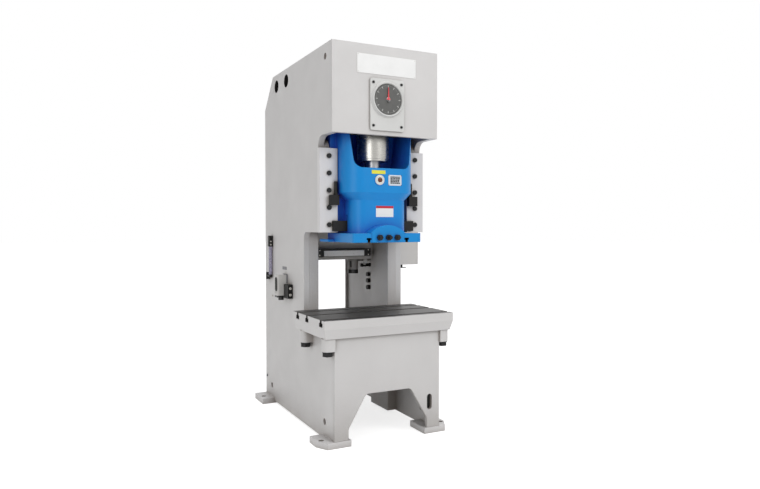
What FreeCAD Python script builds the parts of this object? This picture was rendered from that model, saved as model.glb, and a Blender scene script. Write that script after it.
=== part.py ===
import FreeCAD, Part
import math
import os

# Open-front mechanical stamping press: a welded C frame, a guided slide driven by a
# crankshaft, a bull gear and a flywheel, and the fittings that hang on the frame.
# Millimetres. X runs across the press, Y from front to rear, Z up. The origin is on the
# floor, in the middle of the four anchor bolt holes, and X = 0 is the middle of the frame.

V = FreeCAD.Vector

# ---------------------------------------------------------------- frame
FRAME_WIDTH = 835.0
FRAME_TOP = 2780.0
SIDE_PLATE = 45.0
HALF = FRAME_WIDTH / 2.0
INNER = HALF - SIDE_PLATE
FRONT_PLATE = 30.0
BED_FRONT_Y = -745.0
HEAD_FRONT_Y = -708.0
GIB_PLANE_Y = -455.0
THROAT_WALL_Y = -161.0
REAR_Y = 797.0
BED_TOP = 756.0
THROAT_TOP = FRAME_TOP - 1307.0
HEAD_BOTTOM = FRAME_TOP - 623.0
HEAD_FILLET = 72.0
THROAT_FILLET = 45.0
SLOPE_START_Y = 573.0
SLOPE_END_Z = FRAME_TOP - 250.0
SIDE_LIFT = 20.0
TOP_PLATE = 25.0
REAR_PLATE = 20.0
TABLE_PLATE = 60.0
WALL_PLATE = 40.0
CROSS_PLATE = 25.0
CROSS_PLATE_Y = 120.0
CROSS_PLATE_LOW_Z = FRAME_TOP - 1536.0
CROSS_PLATE_TOP_Z = FRAME_TOP - 1160.0
COLUMN_WIDTH = 75.0
COLUMN_DEPTH = 308.0
COLUMN_LOW_Z = 24.0
COLUMN_TOP_Z = FRAME_TOP - 1080.0
COLUMN_WALL = 25.0
COLUMN_CORNER = 8.0

# holes in the side plates, as (y, z, radius)
LIFTING_HOLE_Y = (233.0, 477.0)
LIFTING_HOLE_Z = FRAME_TOP - 96.0
LIFTING_HOLE_R = 51.5
HEAD_HOLE = (-589.0, FRAME_TOP - 88.0, 22.5)
BASE_HOLES = ((-564.0, 141.0, 23.0), (632.0, 141.0, 23.0))

# ---------------------------------------------------------------- feet and bed
FOOT_INNER_X = INNER - 79.5
FOOT_OUTER_X = HALF + 102.5
FOOT_THICK = 45.0
FOOT_FRONT_Y = -747.0
FOOT_FRONT_LENGTH = 212.0
FOOT_REAR_LENGTH = 228.0
FOOT_CHAMFER = (50.0, 95.0)
ANCHOR_X = HALF + 64.5
ANCHOR_Y = 660.0
ANCHOR_HOLE_R = 20.0
ARCH_TOP_Z = 351.0
ARCH_KNEE_Z = 120.0
ARCH_TOP_HALF = HALF - 239.5
ARCH_LOW_HALF = HALF - 103.5
ARCH_FILLET = 40.0
LEG_SLOT = (HALF - 82.5, 41.0, 178.0, 291.0)
LEG_SLOT_END = 20.0
CROSS_WALL = 30.0
CROSS_WALL_LOW_Z = 361.0

# ---------------------------------------------------------------- bolster
PRESS_AXIS_Y = -488.5
BOLSTER_HALF_X = HALF + 92.5
BOLSTER_FRONT_Y = -788.0
BOLSTER_REAR_Y = -170.0
BOLSTER_THICK = 128.0
BOLSTER_EDGE_BAND = 60.0
BOLSTER_TAPER = 17.0
TSLOT_Y = (-726.0, -463.0, -275.0)
TSLOT_NECK = 32.0
TSLOT_NECK_DEPTH = 19.0
TSLOT_HEAD = 60.0
TSLOT_HEAD_DEPTH = 28.0
LUG_R = 43.0
LUG_DEPTH = 88.0
BOLT_X = HALF + 40.0
BOLT_Y = (-720.0, -303.0)
BOLT_R = 21.0
BOLT_HEAD_ACROSS = 65.0
BOLT_HEAD_HIGH = 26.0
BOLT_WASHER_R = 38.0
BOLT_WASHER_THICK = 8.0
BOLT_REACH = 60.0

# ---------------------------------------------------------------- slide
STROKE = 160.0
SLIDE_LOW_Z = FRAME_TOP - 1377.0
WING_HALF = INNER - 47.5
SLIDE_FLANGE_HALF = WING_HALF - 54.0
SLIDE_FLANGE_FRONT_Y = -732.0
SLIDE_FLANGE_REAR_Y = -265.0
SLIDE_FLANGE_THICK = 65.0
SLIDE_FLANGE_CORNER = 18.0
SLIDE_NECK_HALF = WING_HALF - 106.0
SLIDE_NECK_FRONT_Y = -645.0
SLIDE_BACK_Y = -315.0
SLIDE_NECK_CORNER = 100.0
SLIDE_NECK_TOP_Z = FRAME_TOP - 1075.0
SLIDE_BODY_LOW_Z = FRAME_TOP - 1023.0
SLIDE_BODY_HALF = WING_HALF - 45.0
SLIDE_BODY_FRONT_Y = -665.0
SLIDE_BODY_CORNER = 140.0
SLIDE_TOP_Z = FRAME_TOP - 580.0
WINDOW_LOW_HALF = WING_HALF - 109.0
WINDOW_TOP_HALF = WING_HALF - 75.0
WINDOW_LOW_Z = FRAME_TOP - 849.0
WINDOW_CORNER = 62.0
POCKET_BACK_Y = -352.0
BALL_CAVITY_HALF_X = 165.0
BALL_CAVITY_HALF_Y = 85.0
BALL_CAVITY_CORNER = 84.0
BALL_CAVITY_LOW_Z = FRAME_TOP - 1076.0
WING_DEPTH = 80.0
WING_LOW_Z = FRAME_TOP - 1300.0
SLIDE_TSLOT_X = 150.0
SLIDE_TSLOT_NECK = 20.0
SLIDE_TSLOT_LIP = 18.0
SLIDE_TSLOT_HEAD = 36.0
SLIDE_TSLOT_HEAD_DEPTH = 14.0
SHANK_R = 30.0
SHANK_DEPTH = 70.0
CLAMP_HALF = 128.0
CLAMP_INSERT_HALF = 100.0
CLAMP_FRONT_Y = -735.0
CLAMP_ARC_R = 196.0
CLAMP_ARC_Z = FRAME_TOP - 1450.0
CLAMP_STUD_X = 70.0
CLAMP_STUD_Z = FRAME_TOP - 1342.0
CLAMP_STUD_R = 11.0
CLAMP_NUT_ACROSS = 38.0
CLAMP_NUT_THICK = 20.0
CLAMP_STUD_END = 8.0
CLAMP_SCREW_END = 28.0
SEAT_R = 70.0
SEAT_THICK = 20.0
SIGHT_X = -34.0
SIGHT_Z = FRAME_TOP - 934.0
SIGHT_R = 35.0
SIGHT_THICK = 8.0

# ---------------------------------------------------------------- guides and knockout
RUN_GAP = 0.3
NOSE_GAP = 3.0
KNOCKOUT_GAP = 1.0
BOLT_GAP = 1.5
SHAFT_GAP = 0.05
GIB_INNER_X = INNER - 87.5
GIB_OUTER_X = HALF + 6.5
GIB_THICK = 40.0
GIB_LOW_Z = FRAME_TOP - 1307.0
GIB_TOP_Z = FRAME_TOP - 706.0
GIB_BOLT_X = INNER - 20.5
GIB_BOLT_COUNT = 5
GIB_BOLT_PITCH = 122.5
GIB_BOLT_LOW_Z = FRAME_TOP - 1251.5
GIB_BOLT_HEAD_R = 17.0
GIB_BOLT_HEAD_HIGH = 12.0
LINER_THICK = 8.0
RAIL_BACK = 60.0
RAIL_TOP_Z = FRAME_TOP - 640.0
RAIL_CORNER = 60.0
STOP_INNER_X = WING_HALF - 39.0
STOP_OUTER_X = WING_HALF + 32.0
STOP_LOW_Z = FRAME_TOP - 1111.0
STOP_TOP_Z = FRAME_TOP - 1040.0
STOP_DEPTH = 36.0
STOP_STUD_X = WING_HALF - 19.0
STOP_STUD_R = 12.0
STOP_STUD_TOP_Z = FRAME_TOP - 943.0
STOP_FOOT_OUTER_X = WING_HALF + 8.0
STOP_NUT_ACROSS = 30.0
KNOCKOUT_HALF_X = WING_HALF + 3.0
KNOCKOUT_LOW_Z = FRAME_TOP - 1298.0
KNOCKOUT_HEIGHT = 75.0
KNOCKOUT_THICK = 22.0
KNOCKOUT_TRAVEL = 40.0

# ---------------------------------------------------------------- drive
CRANK_Z = FRAME_TOP - 373.0
CRANK_THROW = STROKE / 2.0
JOURNAL_R = 60.0
BUSH_WALL = 15.0
FRONT_BUSH_LENGTH = 88.0
FRONT_COVER = 18.0
BOSS_WALL = 30.0
PIN_R = 65.0
PIN_LENGTH = 126.0
WEB_THICK = 44.0
WEB_MARGIN = 30.0
WALL_BUSH_LENGTH = 140.0
GEAR_WALL_Y = 420.0
GEAR_HUB_LENGTH = 100.0
GEAR_MODULE = 10.0
BULL_TEETH = 60
PINION_TEETH = 15
PRESSURE_ANGLE = 25.0
BACKLASH = 0.35
GEAR_DEDENDUM = 1.25 * GEAR_MODULE
GEAR_FACE_Y = 250.0
GEAR_FACE = 110.0
GEAR_RIM = 38.0
GEAR_WEB = 34.0
GEAR_HUB_R = 125.0
GEAR_HOLE_R = 45.0
GEAR_HOLES = 4
PINION_SHAFT_R = 42.0
PINION_EXTRA = 5.0
PINION_FRONT_END = 4.0
PINION_REAR_END = 12.0
PINION_BUSH_WALL = 12.0
PINION_BUSH_LENGTH = 70.0
PINION_HUB_WALL = 26.0
NOSE_R = 15.0
NOSE_OUT = 6.0
SHAFT_END = 5.0
ROD_WIDTH = 118.0
ROD_EYE_HALF = 112.0
ROD_NECK_HALF = 72.0
ROD_SLEEVE_R = 118.0
ROD_SLEEVE_LOW_Z = FRAME_TOP - 790.0
ROD_SLEEVE_TOP_Z = FRAME_TOP - 488.0
ROD_RING_HIGH = 14.0
ROD_RING_STEP = 4.0
ROD_SCREW_R = 55.0
BALL_R = 75.0
BALL_Z = FRAME_TOP - 980.0
BALL_COLLAR = 40.0
ROD_EAR_HIGH = 40.0
ROD_BOLT_ACROSS = 32.0
ROD_BOLT_HIGH = 20.0
FLYWHEEL_R = INNER - 32.5
FLYWHEEL_FRONT_Y = 580.0
FLYWHEEL_FACE = 120.0
FLYWHEEL_RIM = 70.0
FLYWHEEL_WEB = 36.0
FLYWHEEL_HUB_R = 95.0
BELT_WIDE = 66.0
BELT_THICK = 8.0
PULLEY_MARGIN = 10.0
CLUTCH_R = 205.0
CLUTCH_DISC = 16.0
CLUTCH_HUB_R = 75.0
CLUTCH_HUB = 30.0
CLUTCH_GAP = 6.0
MOTOR_Z = FRAME_TOP - 1300.0
MOTOR_R = 118.0
MOTOR_FRONT_Y = 185.0
MOTOR_LENGTH = 320.0
MOTOR_COWL = 70.0
MOTOR_FINS = 14
MOTOR_FIN_HIGH = 14.0
MOTOR_FIN_THICK = 5.0
MOTOR_FIN_IN = 2.0
MOTOR_FOOT_DROP = 132.0
MOTOR_SHAFT_R = 19.0
MOTOR_SHIELD = 25.0
MOTOR_BOX = (110.0, 120.0, 230.0, 45.0)
MOTOR_FEET = (90.0, 250.0)
MOTOR_FOOT = (45.0, 256.0, 16.0)
MOTOR_FOOT_WEB = (180.0, 60.0)
PULLEY_R = 75.0
SHELF_THICK = 30.0
SHELF_DEPTH = 363.0
BALANCE_X = WING_HALF - 35.0
BALANCE_R = 55.0
BALANCE_WALL = 9.0
BALANCE_LOW_Z = FRAME_TOP - 490.0
BALANCE_GLAND = 30.0
BALANCE_ROD_R = 16.0
BALANCE_PISTON = 40.0
BALANCE_HEAD = 15.0
BALANCE_SPARE = 20.0

# ---------------------------------------------------------------- dial
DIAL_HALF_X = 134.0
DIAL_LOW_Z = FRAME_TOP - 592.0
DIAL_TOP_Z = FRAME_TOP - 230.0
DIAL_PLATE = 14.0
DIAL_CORNER = 16.0
DIAL_R = 129.0
DIAL_FACE_R = 106.0
DIAL_DEPTH = 18.0
DIAL_RECESS = 10.0
POINTER_LENGTH = 84.0
POINTER_TAIL = 22.0
POINTER_TAIL_HALF = 7.0
POINTER_TIP_HALF = 1.5
POINTER_THICK = 3.0
POINTER_HUB_R = 12.0

# ---------------------------------------------------------------- fittings
LAMP_HALF_X = 177.0
LAMP_CAP = 60.0
LAMP_LOW_Z = CROSS_PLATE_LOW_Z + 30.0
LAMP_TOP_Z = CROSS_PLATE_LOW_Z + 92.0
LAMP_DEPTH = 95.0
LAMP_LENS_LOW = 3.0
LAMP_LENS_HIGH = 44.0
LAMP_LENS_DEPTH = 10.0
LAMP_CORNER = 6.0
LUBE_Y = 609.0
LUBE_TUBE_R = 15.0
LUBE_TUBE_LOW_Z = 1104.0
LUBE_TUBE_TOP_Z = 1344.0
LUBE_HEAD_HIGH = 93.0
LUBE_HEAD_WIDE = 34.0
LUBE_HEAD_LONG = 42.0
LUBE_HEAD_CORNER = 6.0
LUBE_DROP_R = 13.0
LUBE_DROP = 26.0
LUBE_ARM_R = 13.0
LUBE_ARM_LONG = 74.0
LUBE_ARM_DROP = 14.0
LUBE_ELBOW_R = 16.0
LUBE_ELBOW_HIGH = 60.0
LUBE_CLIP = (17.0, 58.0, 90.0, 12.0)
FILTER_Y = (215.0, 293.0)
FILTER_LOW_Z = 945.0
FILTER_TOP_Z = 1125.0
FILTER_WIDE = 85.0
FILTER_CORNER = 14.0
FILTER_SLOT = (18.0, 28.0, 142.0, 5.0, 8.0)
FILTER_DRAIN_R = 22.0
FILTER_DRAIN_DROP = 23.0
VALVE_Y = (91.0, 191.0)
VALVE_LOW_Z = 945.0
VALVE_TOP_Z = 1055.0
VALVE_WIDE = 40.0
CABINET_Y = (-161.0, 470.0)
CABINET_LOW_Z = FRAME_TOP - 1575.0
CABINET_TOP_Z = FRAME_TOP - 780.0
CABINET_WIDE = 162.0
CABINET_SHEET = 3.0
CABINET_DOOR = 18.0
LATCH_R = 14.0
LATCH_INSET = 45.0
LATCH_SPINDLE_R = 7.0
LATCH_HEAD = 8.0
LATCH_GRIP = (8.0, 56.0, 16.0)
LATCH_BACK = 10.0
DOOR_GAP = 0.5
BOWL_X = INNER - 182.0
BOWL_Y = 275.0
BOWL_R = 45.0
BOWL_LOW_Z = CROSS_PLATE_LOW_Z - 128.0
BOWL_TOP_Z = CROSS_PLATE_LOW_Z - 24.0
BOWL_RIM = 5.0
BOWL_HEAD = 30.0
BOWL_ARM_HALF = 22.0
BOWL_ARM_IN = 10.0
PLUG_Y = 322.0
PLUG_Z = (CROSS_PLATE_LOW_Z - 145.0, CROSS_PLATE_LOW_Z - 200.0, CROSS_PLATE_LOW_Z - 259.0)
PLUG_R = 19.0
PLUG_HIGH = 27.0
HOOK_X = HALF + 33.0
HOOK_Y = -116.0
HOOK_R = 8.0
HOOK_DROP = 30.0
HOOK_REACH = 40.0
HOOK_WIRE_R = 3.5
GUARD_HALF_X = INNER - 42.5
GUARD_LOW_Z = FRAME_TOP - 1080.0
GUARD_TOP_Z = FRAME_TOP - 410.0
GUARD_DEEP = 40.0
GUARD_SHEET = 3.0
GUARD_LIP = 22.0
GUARD_SLOTS = 7
GUARD_SLOT_LONG = 150.0
GUARD_SLOT_HIGH = 8.0
GUARD_SLOT_PITCH = 24.0
GUARD_SLOT_X = 150.0
GUARD_SLOT_LOW_Z = FRAME_TOP - 1010.0
REAR_WINDOW_HALF = INNER - 22.5
REAR_WINDOW_LOW_Z = 700.0
REAR_TUNNEL_Z = 340.0
REAR_CORNER = 30.0

# ---------------------------------------------------------------- worked-out places
BED_PLATE_BACK = BED_FRONT_Y + FRONT_PLATE
HEAD_PLATE_BACK = HEAD_FRONT_Y + FRONT_PLATE
REAR_PLATE_FRONT = REAR_Y - REAR_PLATE
COLUMN_INNER_X = INNER - COLUMN_WIDTH
COLUMN_REAR_Y = THROAT_WALL_Y + COLUMN_DEPTH
CRANK_WALL_FRONT = THROAT_WALL_Y - WALL_PLATE
BOLSTER_TOP = BED_TOP + BOLSTER_THICK
PIN_Z = CRANK_Z + CRANK_THROW
PINION_Z = CRANK_Z - GEAR_MODULE * (BULL_TEETH + PINION_TEETH) / 2.0
WING_FRONT_Y = GIB_PLANE_Y + RUN_GAP
WING_BACK_Y = WING_FRONT_Y + WING_DEPTH
LINER_INNER_X = WING_HALF + RUN_GAP
LINER_OUTER_X = LINER_INNER_X + LINER_THICK
LINER_FRONT_Y = WING_BACK_Y + RUN_GAP
LINER_BACK_Y = LINER_FRONT_Y + LINER_THICK
GIB_FRONT_Y = GIB_PLANE_Y - GIB_THICK
KNOCKOUT_BACK_Y = GIB_FRONT_Y - KNOCKOUT_GAP
KNOCKOUT_FRONT_Y = KNOCKOUT_BACK_Y - KNOCKOUT_THICK
BALANCE_Y = WING_FRONT_Y + WING_DEPTH / 2.0
BORE_R = JOURNAL_R + SHAFT_GAP
BUSH_R = BORE_R + BUSH_WALL
PINION_BORE_R = PINION_SHAFT_R + SHAFT_GAP
PINION_BUSH_R = PINION_BORE_R + PINION_BUSH_WALL
FRONT_BUSH_Y = HEAD_FRONT_Y + FRONT_COVER
BOSS_BACK_Y = FRONT_BUSH_Y + FRONT_BUSH_LENGTH
WALL_BUSH_FRONT = THROAT_WALL_Y - WALL_BUSH_LENGTH
PINION_BUSH_FRONT = THROAT_WALL_Y - PINION_BUSH_LENGTH
GEAR_WALL_LOW_Z = MOTOR_Z + MOTOR_R + 22.0
PIN_FRONT_Y = PRESS_AXIS_Y - PIN_LENGTH / 2.0
PIN_BACK_Y = PRESS_AXIS_Y + PIN_LENGTH / 2.0
NOSE_FRONT_Y = HEAD_FRONT_Y - DIAL_PLATE - DIAL_DEPTH + DIAL_RECESS - NOSE_OUT


# ---------------------------------------------------------------- building blocks
def block(x, y, z):
    """A box from three (low, high) pairs."""
    return Part.makeBox(x[1] - x[0], y[1] - y[0], z[1] - z[0], V(x[0], y[0], z[0]))


def bar_x(radius, x, y, z):
    return Part.makeCylinder(radius, x[1] - x[0], V(x[0], y, z), V(1, 0, 0))


def bar_y(radius, x, y, z):
    return Part.makeCylinder(radius, y[1] - y[0], V(x, y[0], z), V(0, 1, 0))


def bar_z(radius, x, y, z):
    return Part.makeCylinder(radius, z[1] - z[0], V(x, y, z[0]), V(0, 0, 1))


def mirrored(shape):
    """The same piece on the other side of the press."""
    return shape.mirror(V(0, 0, 0), V(1, 0, 0))


def both_sides(shape):
    return [shape, mirrored(shape)]


def in_xy(a, b, level):
    return V(a, b, level)


def in_xz(a, b, level):
    return V(a, level, b)


def in_yz(a, b, level):
    return V(level, a, b)


def outline(corners, plane, level):
    """A flat face from (a, b, radius) corners, each rounded to its radius."""
    spots = [plane(c[0], c[1], level) for c in corners]
    edges = []
    first = None
    last = None
    for i, corner in enumerate(corners):
        here = spots[i]
        radius = corner[2]
        if radius <= 0:
            start, end = here, here
        else:
            back = (spots[i - 1] - here).normalize()
            ahead = (spots[(i + 1) % len(spots)] - here).normalize()
            half = back.getAngle(ahead) / 2.0
            reach = radius / math.tan(half)
            start = here + back * reach
            end = here + ahead * reach
            inward = (back + ahead).normalize()
            middle = here + inward * (radius / math.sin(half) - radius)
        if last is not None and last.distanceToPoint(start) > 1e-6:
            edges.append(Part.makeLine(last, start))
        if radius > 0:
            edges.append(Part.Arc(start, middle, end).toShape())
        if first is None:
            first = start
        last = end
    if last.distanceToPoint(first) > 1e-6:
        edges.append(Part.makeLine(last, first))
    return Part.Face(Part.Wire(edges))


def prism_x(corners, x):
    return outline(corners, in_yz, x[0]).extrude(V(x[1] - x[0], 0, 0))


def prism_y(corners, y):
    return outline(corners, in_xz, y[0]).extrude(V(0, y[1] - y[0], 0))


def prism_z(corners, z):
    return outline(corners, in_xy, z[0]).extrude(V(0, 0, z[1] - z[0]))


def rectangle(a, b, radius=0.0):
    """Corners of a rectangle from two (low, high) pairs, for the prisms."""
    return [(a[0], b[0], radius), (a[1], b[0], radius), (a[1], b[1], radius), (a[0], b[1], radius)]


def turned_y(profile, x, z):
    """A solid turned about a line along Y, from (radius, y) points."""
    points = [V(x + r, y, z) for r, y in profile]
    points.append(points[0])
    return Part.Face(Part.makePolygon(points)).revolve(V(x, 0, z), V(0, 1, 0), 360)


def hexagon(across, turn=0.0):
    radius = across / math.sqrt(3.0)
    return [(radius * math.cos(math.radians(turn + 60 * i)),
             radius * math.sin(math.radians(turn + 60 * i)), 0) for i in range(6)]


def hex_z(across, x, y, z):
    return prism_z([(x + a, y + b, r) for a, b, r in hexagon(across)], z)


def hex_y(across, x, y, z):
    return prism_y([(x + a, z + b, r) for a, b, r in hexagon(across)], y)


def ring_y(outer, inner, x, y, z):
    return bar_y(outer, x, y, z).cut(bar_y(inner, x, y, z))


# ---------------------------------------------------------------- welded frame
def side_plate():
    """The right-hand C-shaped side plate, cut from one thick plate."""
    front_pad = FOOT_FRONT_Y + FOOT_FRONT_LENGTH
    rear_pad = REAR_Y - FOOT_REAR_LENGTH
    shape = prism_x([
        (BED_PLATE_BACK, FOOT_THICK, 0),
        (BED_PLATE_BACK, BED_TOP, 0),
        (THROAT_WALL_Y, BED_TOP, 0),
        (THROAT_WALL_Y, THROAT_TOP, THROAT_FILLET),
        (GIB_PLANE_Y, THROAT_TOP, 0),
        (GIB_PLANE_Y, HEAD_BOTTOM, HEAD_FILLET),
        (HEAD_PLATE_BACK, HEAD_BOTTOM, 0),
        (HEAD_PLATE_BACK, FRAME_TOP, 0),
        (SLOPE_START_Y, FRAME_TOP, 0),
        (REAR_Y, SLOPE_END_Z, 0),
        (REAR_Y, FOOT_THICK, 0),
        (rear_pad, FOOT_THICK, 0),
        (rear_pad, SIDE_LIFT, 0),
        (front_pad, SIDE_LIFT, 0),
        (front_pad, FOOT_THICK, 0)], (INNER, HALF))
    holes = [(y, LIFTING_HOLE_Z, LIFTING_HOLE_R) for y in LIFTING_HOLE_Y]
    holes.append(HEAD_HOLE)
    holes.extend(BASE_HOLES)
    return shape.cut([bar_x(r, (INNER - 1, HALF + 1), y, z) for y, z, r in holes])


def head_front_plate():
    """The head's front plate, with the boss that holds the crankshaft's front bush."""
    plate = block((-HALF, HALF), (HEAD_FRONT_Y, HEAD_PLATE_BACK), (HEAD_BOTTOM, FRAME_TOP))
    boss = bar_y(BUSH_R + BOSS_WALL, 0, (HEAD_PLATE_BACK, BOSS_BACK_Y), CRANK_Z)
    bore = bar_y(BUSH_R, 0, (FRONT_BUSH_Y, BOSS_BACK_Y + 1), CRANK_Z)
    nose_hole = bar_y(NOSE_R + NOSE_GAP, 0, (HEAD_FRONT_Y - 1, FRONT_BUSH_Y + 1), CRANK_Z)
    return plate.fuse(boss).cut([bore, nose_hole])


def head_top_plate():
    """The bent plate that closes the head's top and its rear slope."""
    run = REAR_Y - SLOPE_START_Y
    fall = FRAME_TOP - SLOPE_END_Z
    length = math.hypot(run, fall)
    inner_y = SLOPE_START_Y - TOP_PLATE * fall / length
    inner_z = FRAME_TOP - TOP_PLATE * run / length
    bend_y = inner_y + (inner_z - (FRAME_TOP - TOP_PLATE)) * run / fall
    end_y = inner_y + (inner_z - SLOPE_END_Z) * run / fall
    return prism_x([
        (HEAD_PLATE_BACK, FRAME_TOP, 0),
        (SLOPE_START_Y, FRAME_TOP, 0),
        (REAR_Y, SLOPE_END_Z, 0),
        (end_y, SLOPE_END_Z, 0),
        (bend_y, FRAME_TOP - TOP_PLATE, 0),
        (HEAD_PLATE_BACK, FRAME_TOP - TOP_PLATE, 0)], (-INNER, INNER))


def column_box():
    """A folded channel behind the throat that stiffens one side plate."""
    inner = COLUMN_INNER_X
    wall = COLUMN_WALL
    return prism_z([
        (INNER, THROAT_WALL_Y, 0),
        (inner, THROAT_WALL_Y, COLUMN_CORNER),
        (inner, COLUMN_REAR_Y, COLUMN_CORNER),
        (INNER, COLUMN_REAR_Y, 0),
        (INNER, COLUMN_REAR_Y - wall, 0),
        (inner + wall, COLUMN_REAR_Y - wall, 0),
        (inner + wall, THROAT_WALL_Y + wall, 0),
        (INNER, THROAT_WALL_Y + wall, 0)], (COLUMN_LOW_Z, COLUMN_TOP_Z))


def throat_cross_plate():
    return block((-COLUMN_INNER_X, COLUMN_INNER_X), (CROSS_PLATE_Y, CROSS_PLATE_Y + CROSS_PLATE),
                 (CROSS_PLATE_LOW_Z, CROSS_PLATE_TOP_Z))


def bed_front_plate():
    """The bed's front plate, with its arch and the slot in the right leg."""
    plate = block((-HALF, HALF), (BED_FRONT_Y, BED_PLATE_BACK), (FOOT_THICK, BED_TOP))
    cut_y = (BED_FRONT_Y - 1, BED_PLATE_BACK + 1)
    arch = prism_y([
        (-ARCH_LOW_HALF, 0, 0),
        (-ARCH_LOW_HALF, ARCH_KNEE_Z, ARCH_FILLET),
        (-ARCH_TOP_HALF, ARCH_TOP_Z, ARCH_FILLET),
        (ARCH_TOP_HALF, ARCH_TOP_Z, ARCH_FILLET),
        (ARCH_LOW_HALF, ARCH_KNEE_Z, ARCH_FILLET),
        (ARCH_LOW_HALF, 0, 0)], cut_y)
    x, wide, low, high = LEG_SLOT
    slot = prism_y(rectangle((x - wide / 2, x + wide / 2), (low, high), LEG_SLOT_END), cut_y)
    return plate.cut([arch, slot])


def bed_table_plate():
    return block((-INNER, INNER), (BED_PLATE_BACK, THROAT_WALL_Y), (BED_TOP - TABLE_PLATE, BED_TOP))


def bed_cross_plate():
    """The cross wall under the bed's rear edge, between the two columns."""
    return block((-COLUMN_INNER_X, COLUMN_INNER_X), (THROAT_WALL_Y, THROAT_WALL_Y + CROSS_WALL),
                 (CROSS_WALL_LOW_Z, BED_TOP))


def rear_plate():
    """The rear plate, open at the throat's level and at the flywheel."""
    plate = block((-INNER, INNER), (REAR_PLATE_FRONT, REAR_Y), (REAR_TUNNEL_Z, SLOPE_END_Z))
    cut_y = (REAR_PLATE_FRONT - 1, REAR_Y + 1)
    window = prism_y(rectangle((-REAR_WINDOW_HALF, REAR_WINDOW_HALF),
                               (REAR_WINDOW_LOW_Z, CROSS_PLATE_LOW_Z), REAR_CORNER), cut_y)
    service = prism_y(rectangle((-GUARD_HALF_X + GUARD_LIP, GUARD_HALF_X - GUARD_LIP),
                                (GUARD_LOW_Z + GUARD_LIP, GUARD_TOP_Z - GUARD_LIP), REAR_CORNER), cut_y)
    return plate.cut([window, service])


def rear_guard():
    """The pressed cover over the flywheel's service opening, with its vent slots."""
    lip = GUARD_LIP
    flange = block((-GUARD_HALF_X, GUARD_HALF_X), (REAR_Y, REAR_Y + GUARD_SHEET), (GUARD_LOW_Z, GUARD_TOP_Z))
    outside = prism_y(rectangle((-GUARD_HALF_X + lip, GUARD_HALF_X - lip),
                                (GUARD_LOW_Z + lip, GUARD_TOP_Z - lip), REAR_CORNER),
                      (REAR_Y, REAR_Y + GUARD_DEEP))
    sheet = GUARD_SHEET
    inside = prism_y(rectangle((-GUARD_HALF_X + lip + sheet, GUARD_HALF_X - lip - sheet),
                               (GUARD_LOW_Z + lip + sheet, GUARD_TOP_Z - lip - sheet), REAR_CORNER - sheet),
                     (REAR_Y - 1, REAR_Y + GUARD_DEEP - sheet))
    slots = []
    half = GUARD_SLOT_LONG / 2
    slot_y = (REAR_Y + GUARD_DEEP - 2 * sheet, REAR_Y + GUARD_DEEP + 1)
    for i in range(GUARD_SLOTS):
        z = GUARD_SLOT_LOW_Z + i * GUARD_SLOT_PITCH
        for x in (-GUARD_SLOT_X, GUARD_SLOT_X):
            slots.append(block((x - half, x + half), slot_y, (z, z + GUARD_SLOT_HIGH)))
    return flange.fuse(outside).cut([inside] + slots)


def crank_bearing_wall():
    """The cross wall behind the slide, with the hubs for both shafts."""
    wall = block((-INNER, INNER), (CRANK_WALL_FRONT, THROAT_WALL_Y), (THROAT_TOP, FRAME_TOP - TOP_PLATE))
    hubs = [bar_y(BUSH_R + BOSS_WALL, 0, (WALL_BUSH_FRONT, CRANK_WALL_FRONT), CRANK_Z),
            bar_y(PINION_BUSH_R + PINION_HUB_WALL, 0, (PINION_BUSH_FRONT, CRANK_WALL_FRONT), PINION_Z)]
    bores = [bar_y(BUSH_R, 0, (WALL_BUSH_FRONT - 1, THROAT_WALL_Y + 1), CRANK_Z),
             bar_y(PINION_BUSH_R, 0, (PINION_BUSH_FRONT - 1, THROAT_WALL_Y + 1), PINION_Z)]
    return wall.fuse(hubs).cut(bores)


def gear_bearing_wall():
    """The cross wall behind the bull gear."""
    back = GEAR_WALL_Y + WALL_PLATE
    wall = block((-INNER, INNER), (GEAR_WALL_Y, back), (GEAR_WALL_LOW_Z, FRAME_TOP - TOP_PLATE))
    hub_end = GEAR_WALL_Y + GEAR_HUB_LENGTH
    hubs = [bar_y(BUSH_R + BOSS_WALL, 0, (back, hub_end), CRANK_Z),
            bar_y(PINION_BUSH_R + PINION_HUB_WALL, 0, (back, hub_end), PINION_Z)]
    bores = [bar_y(BUSH_R, 0, (GEAR_WALL_Y - 1, hub_end + 1), CRANK_Z),
             bar_y(PINION_BUSH_R, 0, (GEAR_WALL_Y - 1, hub_end + 1), PINION_Z)]
    return wall.fuse(hubs).cut(bores)


def shaft_bushes():
    """Three bronze bushes of the crankshaft and two of the pinion shaft."""
    gear_span = (GEAR_WALL_Y, GEAR_WALL_Y + GEAR_HUB_LENGTH)
    crank_spans = [(FRONT_BUSH_Y, BOSS_BACK_Y), (WALL_BUSH_FRONT, THROAT_WALL_Y), gear_span]
    bushes = [ring_y(BUSH_R, BORE_R, 0, span, CRANK_Z) for span in crank_spans]
    bushes += [ring_y(PINION_BUSH_R, PINION_BORE_R, 0, span, PINION_Z)
               for span in ((PINION_BUSH_FRONT, THROAT_WALL_Y), gear_span)]
    return bushes


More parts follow.
